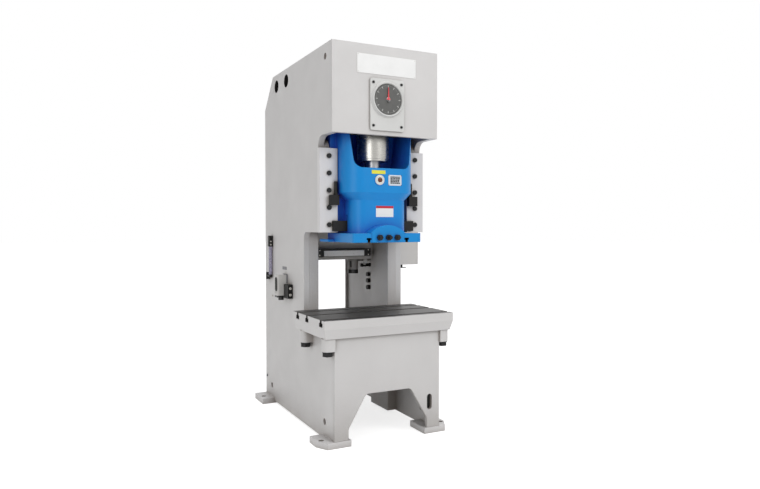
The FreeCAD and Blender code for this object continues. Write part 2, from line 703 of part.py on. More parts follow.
def foot_pads():
    """Four pads with ears outside the frame, each with its anchor bolt hole."""
    front = FOOT_FRONT_Y
    cut_x, cut_y = FOOT_CHAMFER
    front_pad = prism_z([
        (FOOT_INNER_X, front, 0),
        (FOOT_OUTER_X - cut_x, front, 0),
        (FOOT_OUTER_X, front + cut_y, 0),
        (FOOT_OUTER_X, front + FOOT_FRONT_LENGTH, 0),
        (FOOT_INNER_X, front + FOOT_FRONT_LENGTH, 0)], (0, FOOT_THICK))
    rear_pad = block((FOOT_INNER_X, FOOT_OUTER_X), (REAR_Y - FOOT_REAR_LENGTH, REAR_Y), (0, FOOT_THICK))
    pads = []
    for pad, y in ((front_pad, -ANCHOR_Y), (rear_pad, ANCHOR_Y)):
        pads += both_sides(pad.cut(bar_z(ANCHOR_HOLE_R, ANCHOR_X, y, (-1, FOOT_THICK + 1))))
    return pads


# ---------------------------------------------------------------- bolster
def tslot(centre, top, neck, neck_depth, head, head_depth, plane, along):
    """A T-shaped cutter; centre is across the slot and top is its open side."""
    sign = 1.0 if neck_depth > 0 else -1.0
    shelf = top - neck_depth
    floor = shelf - sign * head_depth
    corners = [(centre - neck / 2, top + sign, 0), (centre + neck / 2, top + sign, 0),
               (centre + neck / 2, shelf, 0), (centre + head / 2, shelf, 0),
               (centre + head / 2, floor, 0), (centre - head / 2, floor, 0),
               (centre - head / 2, shelf, 0), (centre - neck / 2, shelf, 0)]
    return plane(corners, along)


def bolt_places():
    """The four bolster bolts, as (x, y)."""
    return [(side * BOLT_X, y) for y in BOLT_Y for side in (-1, 1)]


def bolster_plate():
    """The thick plate that carries the die, with three T-slots across its top."""
    band_low = BOLSTER_TOP - BOLSTER_EDGE_BAND
    upper = block((-BOLSTER_HALF_X, BOLSTER_HALF_X), (BOLSTER_FRONT_Y, BOLSTER_REAR_Y),
                  (band_low, BOLSTER_TOP))
    top_wire = Part.makePolygon([V(x * BOLSTER_HALF_X, y, band_low) for x, y in (
        (-1, BOLSTER_FRONT_Y), (1, BOLSTER_FRONT_Y), (1, BOLSTER_REAR_Y), (-1, BOLSTER_REAR_Y),
        (-1, BOLSTER_FRONT_Y))])
    low_x = BOLSTER_HALF_X - BOLSTER_TAPER
    low_wire = Part.makePolygon([V(x * low_x, y, BED_TOP) for x, y in (
        (-1, BOLSTER_FRONT_Y + BOLSTER_TAPER), (1, BOLSTER_FRONT_Y + BOLSTER_TAPER),
        (1, BOLSTER_REAR_Y - BOLSTER_TAPER), (-1, BOLSTER_REAR_Y - BOLSTER_TAPER),
        (-1, BOLSTER_FRONT_Y + BOLSTER_TAPER))])
    lower = Part.makeLoft([low_wire, top_wire], True, True)
    cutters = [tslot(y, BOLSTER_TOP, TSLOT_NECK, TSLOT_NECK_DEPTH, TSLOT_HEAD, TSLOT_HEAD_DEPTH,
                     prism_x, (-BOLSTER_HALF_X - 1, BOLSTER_HALF_X + 1)) for y in TSLOT_Y]
    cutters += [bar_z(BOLT_R, x, y, (BED_TOP - 1, BED_TOP + BOLT_REACH)) for x, y in bolt_places()]
    return upper.fuse(lower).removeSplitter().cut(cutters)


def bolster_lugs():
    """Four round-ended lugs welded to the bed's sides, under the bolster's corners."""
    z = (BED_TOP - LUG_DEPTH, BED_TOP)
    lugs = []
    for x, y in bolt_places():
        span = (HALF, x) if x > 0 else (x, -HALF)
        lug = block(span, (y - LUG_R, y + LUG_R), z).fuse(bar_z(LUG_R, x, y, z))
        outside = block((-HALF, HALF), (y - LUG_R, y + LUG_R), z)
        lugs.append(lug.cut([outside, bar_z(BOLT_R + BOLT_GAP, x, y, (z[0] - 1, z[1] + 1))]))
    return lugs


def bolster_bolts():
    """Hexagon bolts with their washers, up through the lugs into the bolster."""
    seat = BED_TOP - LUG_DEPTH
    bolts = []
    for x, y in bolt_places():
        under = seat - BOLT_WASHER_THICK
        washer = bar_z(BOLT_WASHER_R, x, y, (under, seat))
        head = hex_z(BOLT_HEAD_ACROSS, x, y, (under - BOLT_HEAD_HIGH, under))
        shank = bar_z(BOLT_R, x, y, (under - 1, BED_TOP + BOLT_REACH))
        bolts.append(washer.fuse([head, shank]))
    return bolts


# ---------------------------------------------------------------- guides
def gib_bolt_heights():
    return [GIB_BOLT_LOW_Z + i * GIB_BOLT_PITCH for i in range(GIB_BOLT_COUNT)]


def gib_plate():
    """The right-hand gib plate, bolted on the frame in front of the slide's wing."""
    return prism_y(rectangle((GIB_INNER_X, GIB_OUTER_X), (GIB_LOW_Z, GIB_TOP_Z)), (GIB_FRONT_Y, GIB_PLANE_Y))


def gib_bolts():
    """The round heads of the screws that hold both gib plates."""
    heads = [bar_y(GIB_BOLT_HEAD_R, GIB_BOLT_X, (GIB_FRONT_Y - GIB_BOLT_HEAD_HIGH, GIB_FRONT_Y), z)
             for z in gib_bolt_heights()]
    return heads + [mirrored(head) for head in heads]


def guide_rails():
    """L-shaped rails on the side plates, behind the gib plates, with round tops."""
    rail = prism_z([
        (INNER, GIB_PLANE_Y, 0),
        (LINER_OUTER_X, GIB_PLANE_Y, 0),
        (LINER_OUTER_X, LINER_BACK_Y, 0),
        (GIB_INNER_X, LINER_BACK_Y, 0),
        (GIB_INNER_X, LINER_BACK_Y + RAIL_BACK, 0),
        (INNER, LINER_BACK_Y + RAIL_BACK, 0)], (GIB_LOW_Z, RAIL_TOP_Z))
    rounded = prism_x([
        (GIB_PLANE_Y, GIB_LOW_Z, 0),
        (GIB_PLANE_Y, RAIL_TOP_Z, RAIL_CORNER),
        (LINER_BACK_Y + RAIL_BACK, RAIL_TOP_Z, 0),
        (LINER_BACK_Y + RAIL_BACK, GIB_LOW_Z, 0)], (GIB_INNER_X, INNER))
    return both_sides(rail.common(rounded))


def guide_liners():
    """Bronze strips that the slide's wings run on."""
    liner = prism_z([
        (LINER_INNER_X, GIB_PLANE_Y, 0),
        (LINER_OUTER_X, GIB_PLANE_Y, 0),
        (LINER_OUTER_X, LINER_BACK_Y, 0),
        (GIB_INNER_X, LINER_BACK_Y, 0),
        (GIB_INNER_X, LINER_FRONT_Y, 0),
        (LINER_INNER_X, LINER_FRONT_Y, 0)], (GIB_LOW_Z, GIB_TOP_Z))
    return both_sides(liner)


def knockout_stops():
    """Brackets on the gib plates, each with its adjusting stud, above the knockout bar."""
    body = block((STOP_INNER_X, STOP_OUTER_X), (GIB_FRONT_Y - STOP_DEPTH, GIB_FRONT_Y - GIB_BOLT_HEAD_HIGH),
                 (STOP_LOW_Z, STOP_TOP_Z))
    foot = block((STOP_INNER_X, STOP_FOOT_OUTER_X),
                 (GIB_FRONT_Y - GIB_BOLT_HEAD_HIGH, GIB_FRONT_Y), (STOP_LOW_Z, STOP_TOP_Z))
    stud = bar_z(STOP_STUD_R, STOP_STUD_X, GIB_FRONT_Y - STOP_DEPTH / 2, (STOP_TOP_Z - 1, STOP_STUD_TOP_Z))
    nut = hex_z(STOP_NUT_ACROSS, STOP_STUD_X, GIB_FRONT_Y - STOP_DEPTH / 2,
                (STOP_TOP_Z, STOP_TOP_Z + STOP_STUD_R))
    return both_sides(body.fuse([foot, stud, nut]))


def knockout_bar():
    return block((-KNOCKOUT_HALF_X, KNOCKOUT_HALF_X), (KNOCKOUT_FRONT_Y, KNOCKOUT_BACK_Y),
                 (KNOCKOUT_LOW_Z, KNOCKOUT_LOW_Z + KNOCKOUT_HEIGHT))


# ---------------------------------------------------------------- slide
def rounded_plan(half, front, back, corner):
    """The slide's plan: square at the back, rounded at the front."""
    return [(-half, back, 0), (-half, front, corner), (half, front, corner), (half, back, 0)]


def slide_casting():
    """The slide: flange, neck, flared body, wings, window, ball pocket, slots and shank bore."""
    flange_top = SLIDE_LOW_Z + SLIDE_FLANGE_THICK
    flange = prism_z(rectangle((-SLIDE_FLANGE_HALF, SLIDE_FLANGE_HALF),
                               (SLIDE_FLANGE_FRONT_Y, SLIDE_FLANGE_REAR_Y), SLIDE_FLANGE_CORNER),
                     (SLIDE_LOW_Z, flange_top))
    neck_plan = rounded_plan(SLIDE_NECK_HALF, SLIDE_NECK_FRONT_Y, SLIDE_BACK_Y, SLIDE_NECK_CORNER)
    body_plan = rounded_plan(SLIDE_BODY_HALF, SLIDE_BODY_FRONT_Y, SLIDE_BACK_Y, SLIDE_BODY_CORNER)
    neck = prism_z(neck_plan, (flange_top, SLIDE_NECK_TOP_Z))
    shoulder = Part.makeLoft([outline(neck_plan, in_xy, SLIDE_NECK_TOP_Z).OuterWire,
                              outline(body_plan, in_xy, SLIDE_BODY_LOW_Z).OuterWire], True, True)
    body = prism_z(body_plan, (SLIDE_BODY_LOW_Z, SLIDE_TOP_Z))
    wings = block((-WING_HALF, WING_HALF), (WING_FRONT_Y, WING_BACK_Y), (WING_LOW_Z, SLIDE_TOP_Z))
    shape = flange.fuse([neck, shoulder, body, wings])

    window = prism_y([(-WINDOW_LOW_HALF, WINDOW_LOW_Z, WINDOW_CORNER),
                      (WINDOW_LOW_HALF, WINDOW_LOW_Z, WINDOW_CORNER),
                      (WINDOW_TOP_HALF, SLIDE_TOP_Z, 0), (-WINDOW_TOP_HALF, SLIDE_TOP_Z, 0)],
                     (SLIDE_BODY_FRONT_Y - 1, POCKET_BACK_Y))
    cavity = prism_z(rectangle((-BALL_CAVITY_HALF_X, BALL_CAVITY_HALF_X),
                               (PRESS_AXIS_Y - BALL_CAVITY_HALF_Y, PRESS_AXIS_Y + BALL_CAVITY_HALF_Y),
                               BALL_CAVITY_CORNER), (BALL_CAVITY_LOW_Z, WINDOW_LOW_Z + WINDOW_CORNER))
    seat = bar_z(SEAT_R, 0, PRESS_AXIS_Y, (BALL_CAVITY_LOW_Z - SEAT_THICK, BALL_CAVITY_LOW_Z + 1))
    bore = bar_z(SHANK_R, 0, PRESS_AXIS_Y, (SLIDE_LOW_Z - 1, SLIDE_LOW_Z + SHANK_DEPTH))
    bar_slot = block((-WING_HALF, WING_HALF), (KNOCKOUT_FRONT_Y - RUN_GAP, KNOCKOUT_BACK_Y + RUN_GAP),
                     (KNOCKOUT_LOW_Z - RUN_GAP, KNOCKOUT_LOW_Z + KNOCKOUT_HEIGHT + KNOCKOUT_TRAVEL + 1))
    recess = block((-CLAMP_INSERT_HALF, CLAMP_INSERT_HALF), (SLIDE_FLANGE_FRONT_Y - 1, PRESS_AXIS_Y),
                   (SLIDE_LOW_Z - 1, SLIDE_LOW_Z + SHANK_DEPTH))
    slots = [tslot(side * SLIDE_TSLOT_X, SLIDE_LOW_Z, SLIDE_TSLOT_NECK, -SLIDE_TSLOT_LIP,
                   SLIDE_TSLOT_HEAD, SLIDE_TSLOT_HEAD_DEPTH, prism_y,
                   (SLIDE_FLANGE_FRONT_Y - 1, SLIDE_FLANGE_REAR_Y + 1)) for side in (-1, 1)]
    return shape.cut([window, cavity, seat, bore, bar_slot, recess] + slots)


def shank_clamp():
    """The clamp block let into the slide's flange, with its round hood; it closes the shank bore."""
    flange_top = SLIDE_LOW_Z + SLIDE_FLANGE_THICK
    plate = block((-CLAMP_HALF, CLAMP_HALF), (CLAMP_FRONT_Y, SLIDE_FLANGE_FRONT_Y),
                  (SLIDE_LOW_Z, flange_top))
    crown = bar_y(CLAMP_ARC_R, 0, (CLAMP_FRONT_Y, SLIDE_NECK_FRONT_Y), CLAMP_ARC_Z)
    hood = crown.common(block((-CLAMP_ARC_R, CLAMP_ARC_R), (CLAMP_FRONT_Y, SLIDE_NECK_FRONT_Y),
                              (flange_top, CLAMP_ARC_Z + CLAMP_ARC_R)))
    insert = block((-CLAMP_INSERT_HALF, CLAMP_INSERT_HALF), (SLIDE_FLANGE_FRONT_Y, PRESS_AXIS_Y),
                   (SLIDE_LOW_Z, SLIDE_LOW_Z + SHANK_DEPTH))
    insert = insert.cut(block((-CLAMP_INSERT_HALF, CLAMP_INSERT_HALF), (SLIDE_NECK_FRONT_Y, PRESS_AXIS_Y),
                              (SLIDE_LOW_Z + SHANK_DEPTH, flange_top + SHANK_DEPTH)))
    bore = bar_z(SHANK_R, 0, PRESS_AXIS_Y, (SLIDE_LOW_Z - 1, SLIDE_LOW_Z + SHANK_DEPTH + 1))
    return plate.fuse([hood, insert]).removeSplitter().cut(bore)


def clamp_fasteners():
    """The clamp's two studs with their nuts, and the longer screw between them."""
    nut_front = CLAMP_FRONT_Y - CLAMP_NUT_THICK
    pieces = []
    for x, reach in ((-CLAMP_STUD_X, CLAMP_STUD_END), (0, CLAMP_SCREW_END), (CLAMP_STUD_X, CLAMP_STUD_END)):
        end = bar_y(CLAMP_STUD_R, x, (nut_front - reach, CLAMP_FRONT_Y), CLAMP_STUD_Z)
        nut = hex_y(CLAMP_NUT_ACROSS, x, (nut_front, CLAMP_FRONT_Y), CLAMP_STUD_Z)
        pieces.append(end.fuse(nut))
    return pieces


def ball_seat():
    return bar_z(SEAT_R, 0, PRESS_AXIS_Y, (BALL_CAVITY_LOW_Z - SEAT_THICK, BALL_CAVITY_LOW_Z))


def slide_gauge():
    """The round sight glass on the slide's front."""
    return bar_y(SIGHT_R, SIGHT_X, (SLIDE_BODY_FRONT_Y - SIGHT_THICK, SLIDE_BODY_FRONT_Y), SIGHT_Z)


# ---------------------------------------------------------------- crank, rod and gears
def crank_web(y):
    """A pear-shaped web from the journal to the pin, across the width y."""
    journal = JOURNAL_R + WEB_MARGIN
    pin = PIN_R + WEB_MARGIN
    rise = CRANK_THROW
    lean = math.asin((pin - journal) / rise)
    top = bar_y(pin, 0, y, PIN_Z)
    low = bar_y(journal, 0, y, CRANK_Z)
    cheek = prism_y([
        (-journal * math.cos(lean), CRANK_Z - journal * math.sin(lean), 0),
        (journal * math.cos(lean), CRANK_Z - journal * math.sin(lean), 0),
        (pin * math.cos(lean), PIN_Z - pin * math.sin(lean), 0),
        (-pin * math.cos(lean), PIN_Z - pin * math.sin(lean), 0)], y)
    return top.fuse([low, cheek]).removeSplitter()


def crankshaft():
    """One forging: nose, front journal, two webs, crank pin, and the rear journal."""
    front_web = (PIN_FRONT_Y - WEB_THICK, PIN_FRONT_Y)
    rear_web = (PIN_BACK_Y, PIN_BACK_Y + WEB_THICK)
    gear_hub_back = GEAR_WALL_Y + GEAR_HUB_LENGTH
    pieces = [
        bar_y(NOSE_R, 0, (NOSE_FRONT_Y, FRONT_BUSH_Y + 1), CRANK_Z),
        bar_y(JOURNAL_R, 0, (FRONT_BUSH_Y, front_web[0] + 1), CRANK_Z),
        crank_web(front_web),
        bar_y(PIN_R, 0, (front_web[1] - 1, rear_web[0] + 1), PIN_Z),
        crank_web(rear_web),
        bar_y(JOURNAL_R, 0, (rear_web[1] - 1, gear_hub_back + SHAFT_END), CRANK_Z)]
    return pieces[0].fuse(pieces[1:]).removeSplitter()


def gear_outline(teeth, phase, steps):
    """Points of an involute gear about its own centre; steps is the chords on a flank."""
    pitch_r = GEAR_MODULE * teeth / 2.0
    base_r = pitch_r * math.cos(math.radians(PRESSURE_ANGLE))
    tip_r = pitch_r + GEAR_MODULE
    root_r = pitch_r - GEAR_DEDENDUM
    involute = math.tan(math.radians(PRESSURE_ANGLE)) - math.radians(PRESSURE_ANGLE)
    half_base = math.pi / (2 * teeth) - BACKLASH / (2 * pitch_r) + involute
    start_r = max(base_r, root_r)
    flank = []
    for i in range(steps + 1):
        radius = start_r + (tip_r - start_r) * i / steps
        roll = math.sqrt(max((radius / base_r) ** 2 - 1.0, 0.0))
        flank.append((radius, half_base - (roll - math.atan(roll))))
    if start_r > root_r:
        flank.insert(0, (root_r, flank[0][1]))
    points = []
    for tooth in range(teeth):
        middle = phase + 2 * math.pi * tooth / teeth
        points += [(r, middle - a) for r, a in flank]
        points += [(r, middle + a) for r, a in reversed(flank)]
    return [(r * math.cos(a), r * math.sin(a)) for r, a in points]


def gear_blank(teeth, phase, steps, z, y):
    points = [V(a, y[0], z + b) for a, b in gear_outline(teeth, phase, steps)]
    points.append(points[0])
    return Part.Face(Part.makePolygon(points)).extrude(V(0, y[1] - y[0], 0))


def bull_gear():
    """The large gear keyed on the crankshaft: rim, thin web with holes, and hub."""
    y = (GEAR_FACE_Y, GEAR_FACE_Y + GEAR_FACE)
    middle = (y[0] + y[1]) / 2.0
    blank = gear_blank(BULL_TEETH, math.pi / 2, 1, CRANK_Z, y)
    rim_r = GEAR_MODULE * BULL_TEETH / 2.0 - GEAR_DEDENDUM - GEAR_RIM
    cutters = [bar_y(JOURNAL_R, 0, (y[0] - 1, y[1] + 1), CRANK_Z)]
    for recess in ((y[0] - 1, middle - GEAR_WEB / 2), (middle + GEAR_WEB / 2, y[1] + 1)):
        cutters.append(ring_y(rim_r, GEAR_HUB_R, 0, recess, CRANK_Z))
    hole_ring = (rim_r + GEAR_HUB_R) / 2.0
    for i in range(GEAR_HOLES):
        turn = 2 * math.pi * (i + 0.5) / GEAR_HOLES
        cutters.append(bar_y(GEAR_HOLE_R, hole_ring * math.cos(turn), (y[0] - 1, y[1] + 1),
                             CRANK_Z + hole_ring * math.sin(turn)))
    return blank.cut(cutters)


def pinion_shaft():
    """The drive shaft, with the pinion cut on it."""
    y = (GEAR_FACE_Y - PINION_EXTRA, GEAR_FACE_Y + GEAR_FACE + PINION_EXTRA)
    phase = math.pi / 2 + math.pi / PINION_TEETH
    teeth = gear_blank(PINION_TEETH, phase, 2, PINION_Z, y)
    ends = (PINION_BUSH_FRONT - PINION_FRONT_END, FLYWHEEL_FRONT_Y + FLYWHEEL_FACE + PINION_REAR_END)
    shaft = bar_y(PINION_SHAFT_R, 0, ends, PINION_Z)
    return teeth.fuse(shaft)


def clutch_disc():
    """The driven disc of the friction clutch, keyed on the drive shaft beside the flywheel."""
    back = FLYWHEEL_FRONT_Y - CLUTCH_GAP
    front = back - CLUTCH_DISC
    hub = front - CLUTCH_HUB
    profile = [(PINION_SHAFT_R, hub), (CLUTCH_HUB_R, hub), (CLUTCH_HUB_R, front), (CLUTCH_R, front),
               (CLUTCH_R, back), (PINION_SHAFT_R, back)]
    return turned_y(profile, 0, PINION_Z)


def belt_span():
    """Where the belt runs across the flywheel's face."""
    middle = FLYWHEEL_FRONT_Y + FLYWHEEL_FACE / 2.0
    return (middle - BELT_WIDE / 2.0, middle + BELT_WIDE / 2.0)


def flywheel():
    """The flywheel: heavy rim, thin web, and a hub that runs free on the drive shaft."""
    y = (FLYWHEEL_FRONT_Y, FLYWHEEL_FRONT_Y + FLYWHEEL_FACE)
    middle = (y[0] + y[1]) / 2.0
    web = (middle - FLYWHEEL_WEB / 2, middle + FLYWHEEL_WEB / 2)
    bore = PINION_SHAFT_R + SHAFT_GAP
    rim = FLYWHEEL_R - FLYWHEEL_RIM
    profile = [(FLYWHEEL_R, y[0]), (FLYWHEEL_R, y[1]), (rim, y[1]), (rim, web[1]), (FLYWHEEL_HUB_R, web[1]),
               (FLYWHEEL_HUB_R, y[1]), (bore, y[1]), (bore, y[0]), (FLYWHEEL_HUB_R, y[0]),
               (FLYWHEEL_HUB_R, web[0]), (rim, web[0]), (rim, y[0])]
    return turned_y(profile, 0, PINION_Z)


def motor_pulley():
    """The motor's pulley, with the end of the motor shaft."""
    belt = belt_span()
    y = (belt[0] - PULLEY_MARGIN, belt[1] + PULLEY_MARGIN)
    shaft_start = MOTOR_FRONT_Y + MOTOR_LENGTH + RUN_GAP
    profile = [(0.0, shaft_start), (MOTOR_SHAFT_R, shaft_start), (MOTOR_SHAFT_R, y[0]), (PULLEY_R, y[0]),
               (PULLEY_R, y[1]), (0.0, y[1])]
    return turned_y(profile, 0, MOTOR_Z)


def belt_face(wheel_r, pulley_r, y):
    """The area inside a belt that runs on these two radii, seen along Y."""
    lean = math.asin((wheel_r - pulley_r) / (PINION_Z - MOTOR_Z))
    c, s = math.cos(lean), math.sin(lean)
    right_top = V(wheel_r * c, y, PINION_Z - wheel_r * s)
    right_low = V(pulley_r * c, y, MOTOR_Z - pulley_r * s)
    left_top = V(-right_top.x, y, right_top.z)
    left_low = V(-right_low.x, y, right_low.z)
    return Part.Face(Part.Wire([
        Part.Arc(right_top, V(0, y, PINION_Z + wheel_r), left_top).toShape(),
        Part.makeLine(left_top, left_low),
        Part.Arc(left_low, V(0, y, MOTOR_Z - pulley_r), right_low).toShape(),
        Part.makeLine(right_low, right_top)]))


def drive_belt():
    """The ribbed belt between the motor's pulley and the flywheel."""
    y = belt_span()
    gap = RUN_GAP
    outer = belt_face(FLYWHEEL_R + gap + BELT_THICK, PULLEY_R + gap + BELT_THICK, y[0])
    inner = belt_face(FLYWHEEL_R + gap, PULLEY_R + gap, y[0])
    return outer.cut(inner).extrude(V(0, y[1] - y[0], 0))


def rod_span():
    return (PRESS_AXIS_Y - ROD_WIDTH / 2, PRESS_AXIS_Y + ROD_WIDTH / 2)


def pin_bore():
    y = rod_span()
    return bar_y(PIN_R + SHAFT_GAP, 0, (y[0] - 1, y[1] + 1), PIN_Z)


def connecting_rod():
    """The rod: the lower half of its eye, the shank, and the foot that enters the sleeve."""
    eye = ROD_EYE_HALF
    neck = ROD_NECK_HALF
    shape = prism_y([
        (-eye, PIN_Z, 0), (eye, PIN_Z, 0), (eye, PIN_Z - ROD_EAR_HIGH, 0), (neck, PIN_Z - eye, 0),
        (neck, ROD_SLEEVE_TOP_Z, 0), (-neck, ROD_SLEEVE_TOP_Z, 0), (-neck, PIN_Z - eye, 0),
        (-eye, PIN_Z - ROD_EAR_HIGH, 0)], rod_span())
    return shape.cut(pin_bore())


def rod_cap():
    """The cap over the crank pin, split at the pin's centre."""
    eye = ROD_EYE_HALF
    flat = ROD_NECK_HALF
    shape = prism_y([
        (-eye, PIN_Z, 0), (-eye, PIN_Z + ROD_EAR_HIGH, 0), (-flat, PIN_Z + ROD_EAR_HIGH, 0),
        (-flat / 2, PIN_Z + eye, 0), (flat / 2, PIN_Z + eye, 0), (flat, PIN_Z + ROD_EAR_HIGH, 0),
        (eye, PIN_Z + ROD_EAR_HIGH, 0), (eye, PIN_Z, 0)], rod_span())
    return shape.cut(pin_bore())


def rod_bolts():
    """The hexagon heads of the two cap bolts, on the cap's ears."""
    seat = PIN_Z + ROD_EAR_HIGH
    across = ROD_BOLT_ACROSS
    middle = (ROD_EYE_HALF + ROD_NECK_HALF) / 2
    return both_sides(hex_z(across, middle, PRESS_AXIS_Y, (seat, seat + ROD_BOLT_HIGH)))


def rod_sleeve():
    """The polished adjusting sleeve round the rod, stepped in at its foot."""
    step = ROD_SLEEVE_LOW_Z + ROD_RING_HIGH
    tube = bar_z(ROD_SLEEVE_R, 0, PRESS_AXIS_Y, (step, ROD_SLEEVE_TOP_Z))
    foot = bar_z(ROD_SLEEVE_R - ROD_RING_STEP, 0, PRESS_AXIS_Y, (ROD_SLEEVE_LOW_Z, step))
    bore = bar_z(ROD_SCREW_R, 0, PRESS_AXIS_Y, (ROD_SLEEVE_LOW_Z - 1, ROD_SLEEVE_TOP_Z + 1))
    return tube.fuse(foot).cut(bore)


def adjusting_screw():
    """The screw in the sleeve; its ball end carries the slide and it sets the shut height."""
    screw = bar_z(ROD_SCREW_R, 0, PRESS_AXIS_Y, (BALL_Z, ROD_SLEEVE_TOP_Z))
    collar = bar_z(BALL_R, 0, PRESS_AXIS_Y, (BALL_Z, BALL_Z + BALL_COLLAR))
    ball = Part.makeSphere(BALL_R, V(0, PRESS_AXIS_Y, BALL_Z), V(0, 0, 1), -90, 0, 360)
    return ball.fuse([collar, screw])


# ---------------------------------------------------------------- balance cylinders and motor
def balance_cylinders():
    """Two air cylinders in the head that carry the slide's weight."""
    top = FRAME_TOP - TOP_PLATE
    tube = bar_z(BALANCE_R, BALANCE_X, BALANCE_Y, (BALANCE_LOW_Z, top))
    bore_low = BALANCE_LOW_Z + BALANCE_GLAND
    bore = bar_z(BALANCE_R - BALANCE_WALL, BALANCE_X, BALANCE_Y, (bore_low, top - BALANCE_HEAD))
    gland = bar_z(BALANCE_ROD_R + RUN_GAP, BALANCE_X, BALANCE_Y, (BALANCE_LOW_Z - 1, bore_low + 1))
    return both_sides(tube.cut([bore, gland]))


def balance_rods():
    """Their piston rods, standing on the slide."""
    top = FRAME_TOP - TOP_PLATE - BALANCE_HEAD - BALANCE_SPARE
    rod = bar_z(BALANCE_ROD_R, BALANCE_X, BALANCE_Y, (SLIDE_TOP_Z, top))
    piston = bar_z(BALANCE_R - BALANCE_WALL - RUN_GAP, BALANCE_X, BALANCE_Y, (top - BALANCE_PISTON, top))
    return both_sides(rod.fuse(piston))


def motor():
    """A foot-mounted motor with cooling fins, a fan cowl and a terminal box."""
    front = MOTOR_FRONT_Y
    back = front + MOTOR_LENGTH
    body = bar_y(MOTOR_R - MOTOR_FIN_HIGH, 0, (front + MOTOR_COWL, back), MOTOR_Z)
    cowl = bar_y(MOTOR_R, 0, (front, front + MOTOR_COWL), MOTOR_Z)
    shield = bar_y(MOTOR_R, 0, (back - MOTOR_SHIELD, back), MOTOR_Z)
    fins = []
    for i in range(MOTOR_FINS):
        fin = block((0, MOTOR_R - MOTOR_FIN_IN), (front + MOTOR_COWL, back - MOTOR_SHIELD),
                    (MOTOR_Z - MOTOR_FIN_THICK / 2, MOTOR_Z + MOTOR_FIN_THICK / 2))
        fin.rotate(V(0, 0, MOTOR_Z), V(0, 1, 0), 360.0 * (i + 0.5) / MOTOR_FINS)
        fins.append(fin)
    wide, box_front, box_back, high = MOTOR_BOX
    box = block((-wide / 2, wide / 2), (front + box_front, front + box_back),
                (MOTOR_Z, MOTOR_Z + MOTOR_R + high))
    sole = MOTOR_Z - MOTOR_FOOT_DROP
    long, foot_wide, thick = MOTOR_FOOT
    web_wide, web_drop = MOTOR_FOOT_WEB
    feet = []
    for start in MOTOR_FEET:
        y = (front + start, front + start + long)
        feet.append(block((-foot_wide / 2, foot_wide / 2), y, (sole, sole + thick)))
        feet.append(block((-web_wide / 2, web_wide / 2), y, (sole, MOTOR_Z - web_drop)))
    return body.fuse([cowl, shield, box] + fins + feet)


def motor_shelf():
    """The shelf that carries the motor, between the side plates."""
    top = MOTOR_Z - MOTOR_FOOT_DROP
    return block((-INNER, INNER), (COLUMN_REAR_Y, COLUMN_REAR_Y + SHELF_DEPTH), (top - SHELF_THICK, top))


# ---------------------------------------------------------------- crank-angle dial
def dial_plate():
    """The plate on the head that carries the crank-angle dial."""
    y = (HEAD_FRONT_Y - DIAL_PLATE, HEAD_FRONT_Y)
    plate = prism_y(rectangle((-DIAL_HALF_X, DIAL_HALF_X), (DIAL_LOW_Z, DIAL_TOP_Z), DIAL_CORNER), y)
    return plate.cut(bar_y(NOSE_R + NOSE_GAP, 0, (y[0] - 1, y[1] + 1), CRANK_Z))


def dial_ring():
    """The dial's round case: a raised rim round the recessed face."""
    back = HEAD_FRONT_Y - DIAL_PLATE
    front = back - DIAL_DEPTH
    case = bar_y(DIAL_R, 0, (front, back), CRANK_Z)
    face = bar_y(DIAL_FACE_R, 0, (front - 1, front + DIAL_RECESS), CRANK_Z)
    hole = bar_y(NOSE_R + NOSE_GAP, 0, (front, back + 1), CRANK_Z)
    return case.cut([face, hole])


def dial_pointer():
    """The needle on the crankshaft's nose; it points up at top dead centre."""
    y = (NOSE_FRONT_Y - POINTER_THICK, NOSE_FRONT_Y)
    wide = POINTER_TAIL_HALF
    tip = POINTER_TIP_HALF
    blade = prism_y([(-wide, CRANK_Z - POINTER_TAIL, 0), (wide, CRANK_Z - POINTER_TAIL, 0),
                     (tip, CRANK_Z + POINTER_LENGTH, 0), (-tip, CRANK_Z + POINTER_LENGTH, 0)], y)
    hub = bar_y(POINTER_HUB_R, 0, y, CRANK_Z)
    return blade.fuse(hub)


# ---------------------------------------------------------------- fittings on the frame
def lamp_housing():
    """The work lamp's black case and end caps, on the cross plate over the throat."""
    front = CROSS_PLATE_Y - LAMP_DEPTH
    whole = LAMP_HALF_X + LAMP_CAP
    case = prism_y(rectangle((-whole, whole), (LAMP_LOW_Z, LAMP_TOP_Z), LAMP_CORNER), (front, CROSS_PLATE_Y))
    seat = block((-LAMP_HALF_X, LAMP_HALF_X), (front - 1, front + LAMP_LENS_DEPTH),
                 (LAMP_LOW_Z - 1, LAMP_LOW_Z + LAMP_LENS_LOW + LAMP_LENS_HIGH))
    return case.cut(seat)


def lamp_diffuser():
    front = CROSS_PLATE_Y - LAMP_DEPTH
    low = LAMP_LOW_Z + LAMP_LENS_LOW
    return block((-LAMP_HALF_X, LAMP_HALF_X), (front, front + LAMP_LENS_DEPTH), (low, low + LAMP_LENS_HIGH))


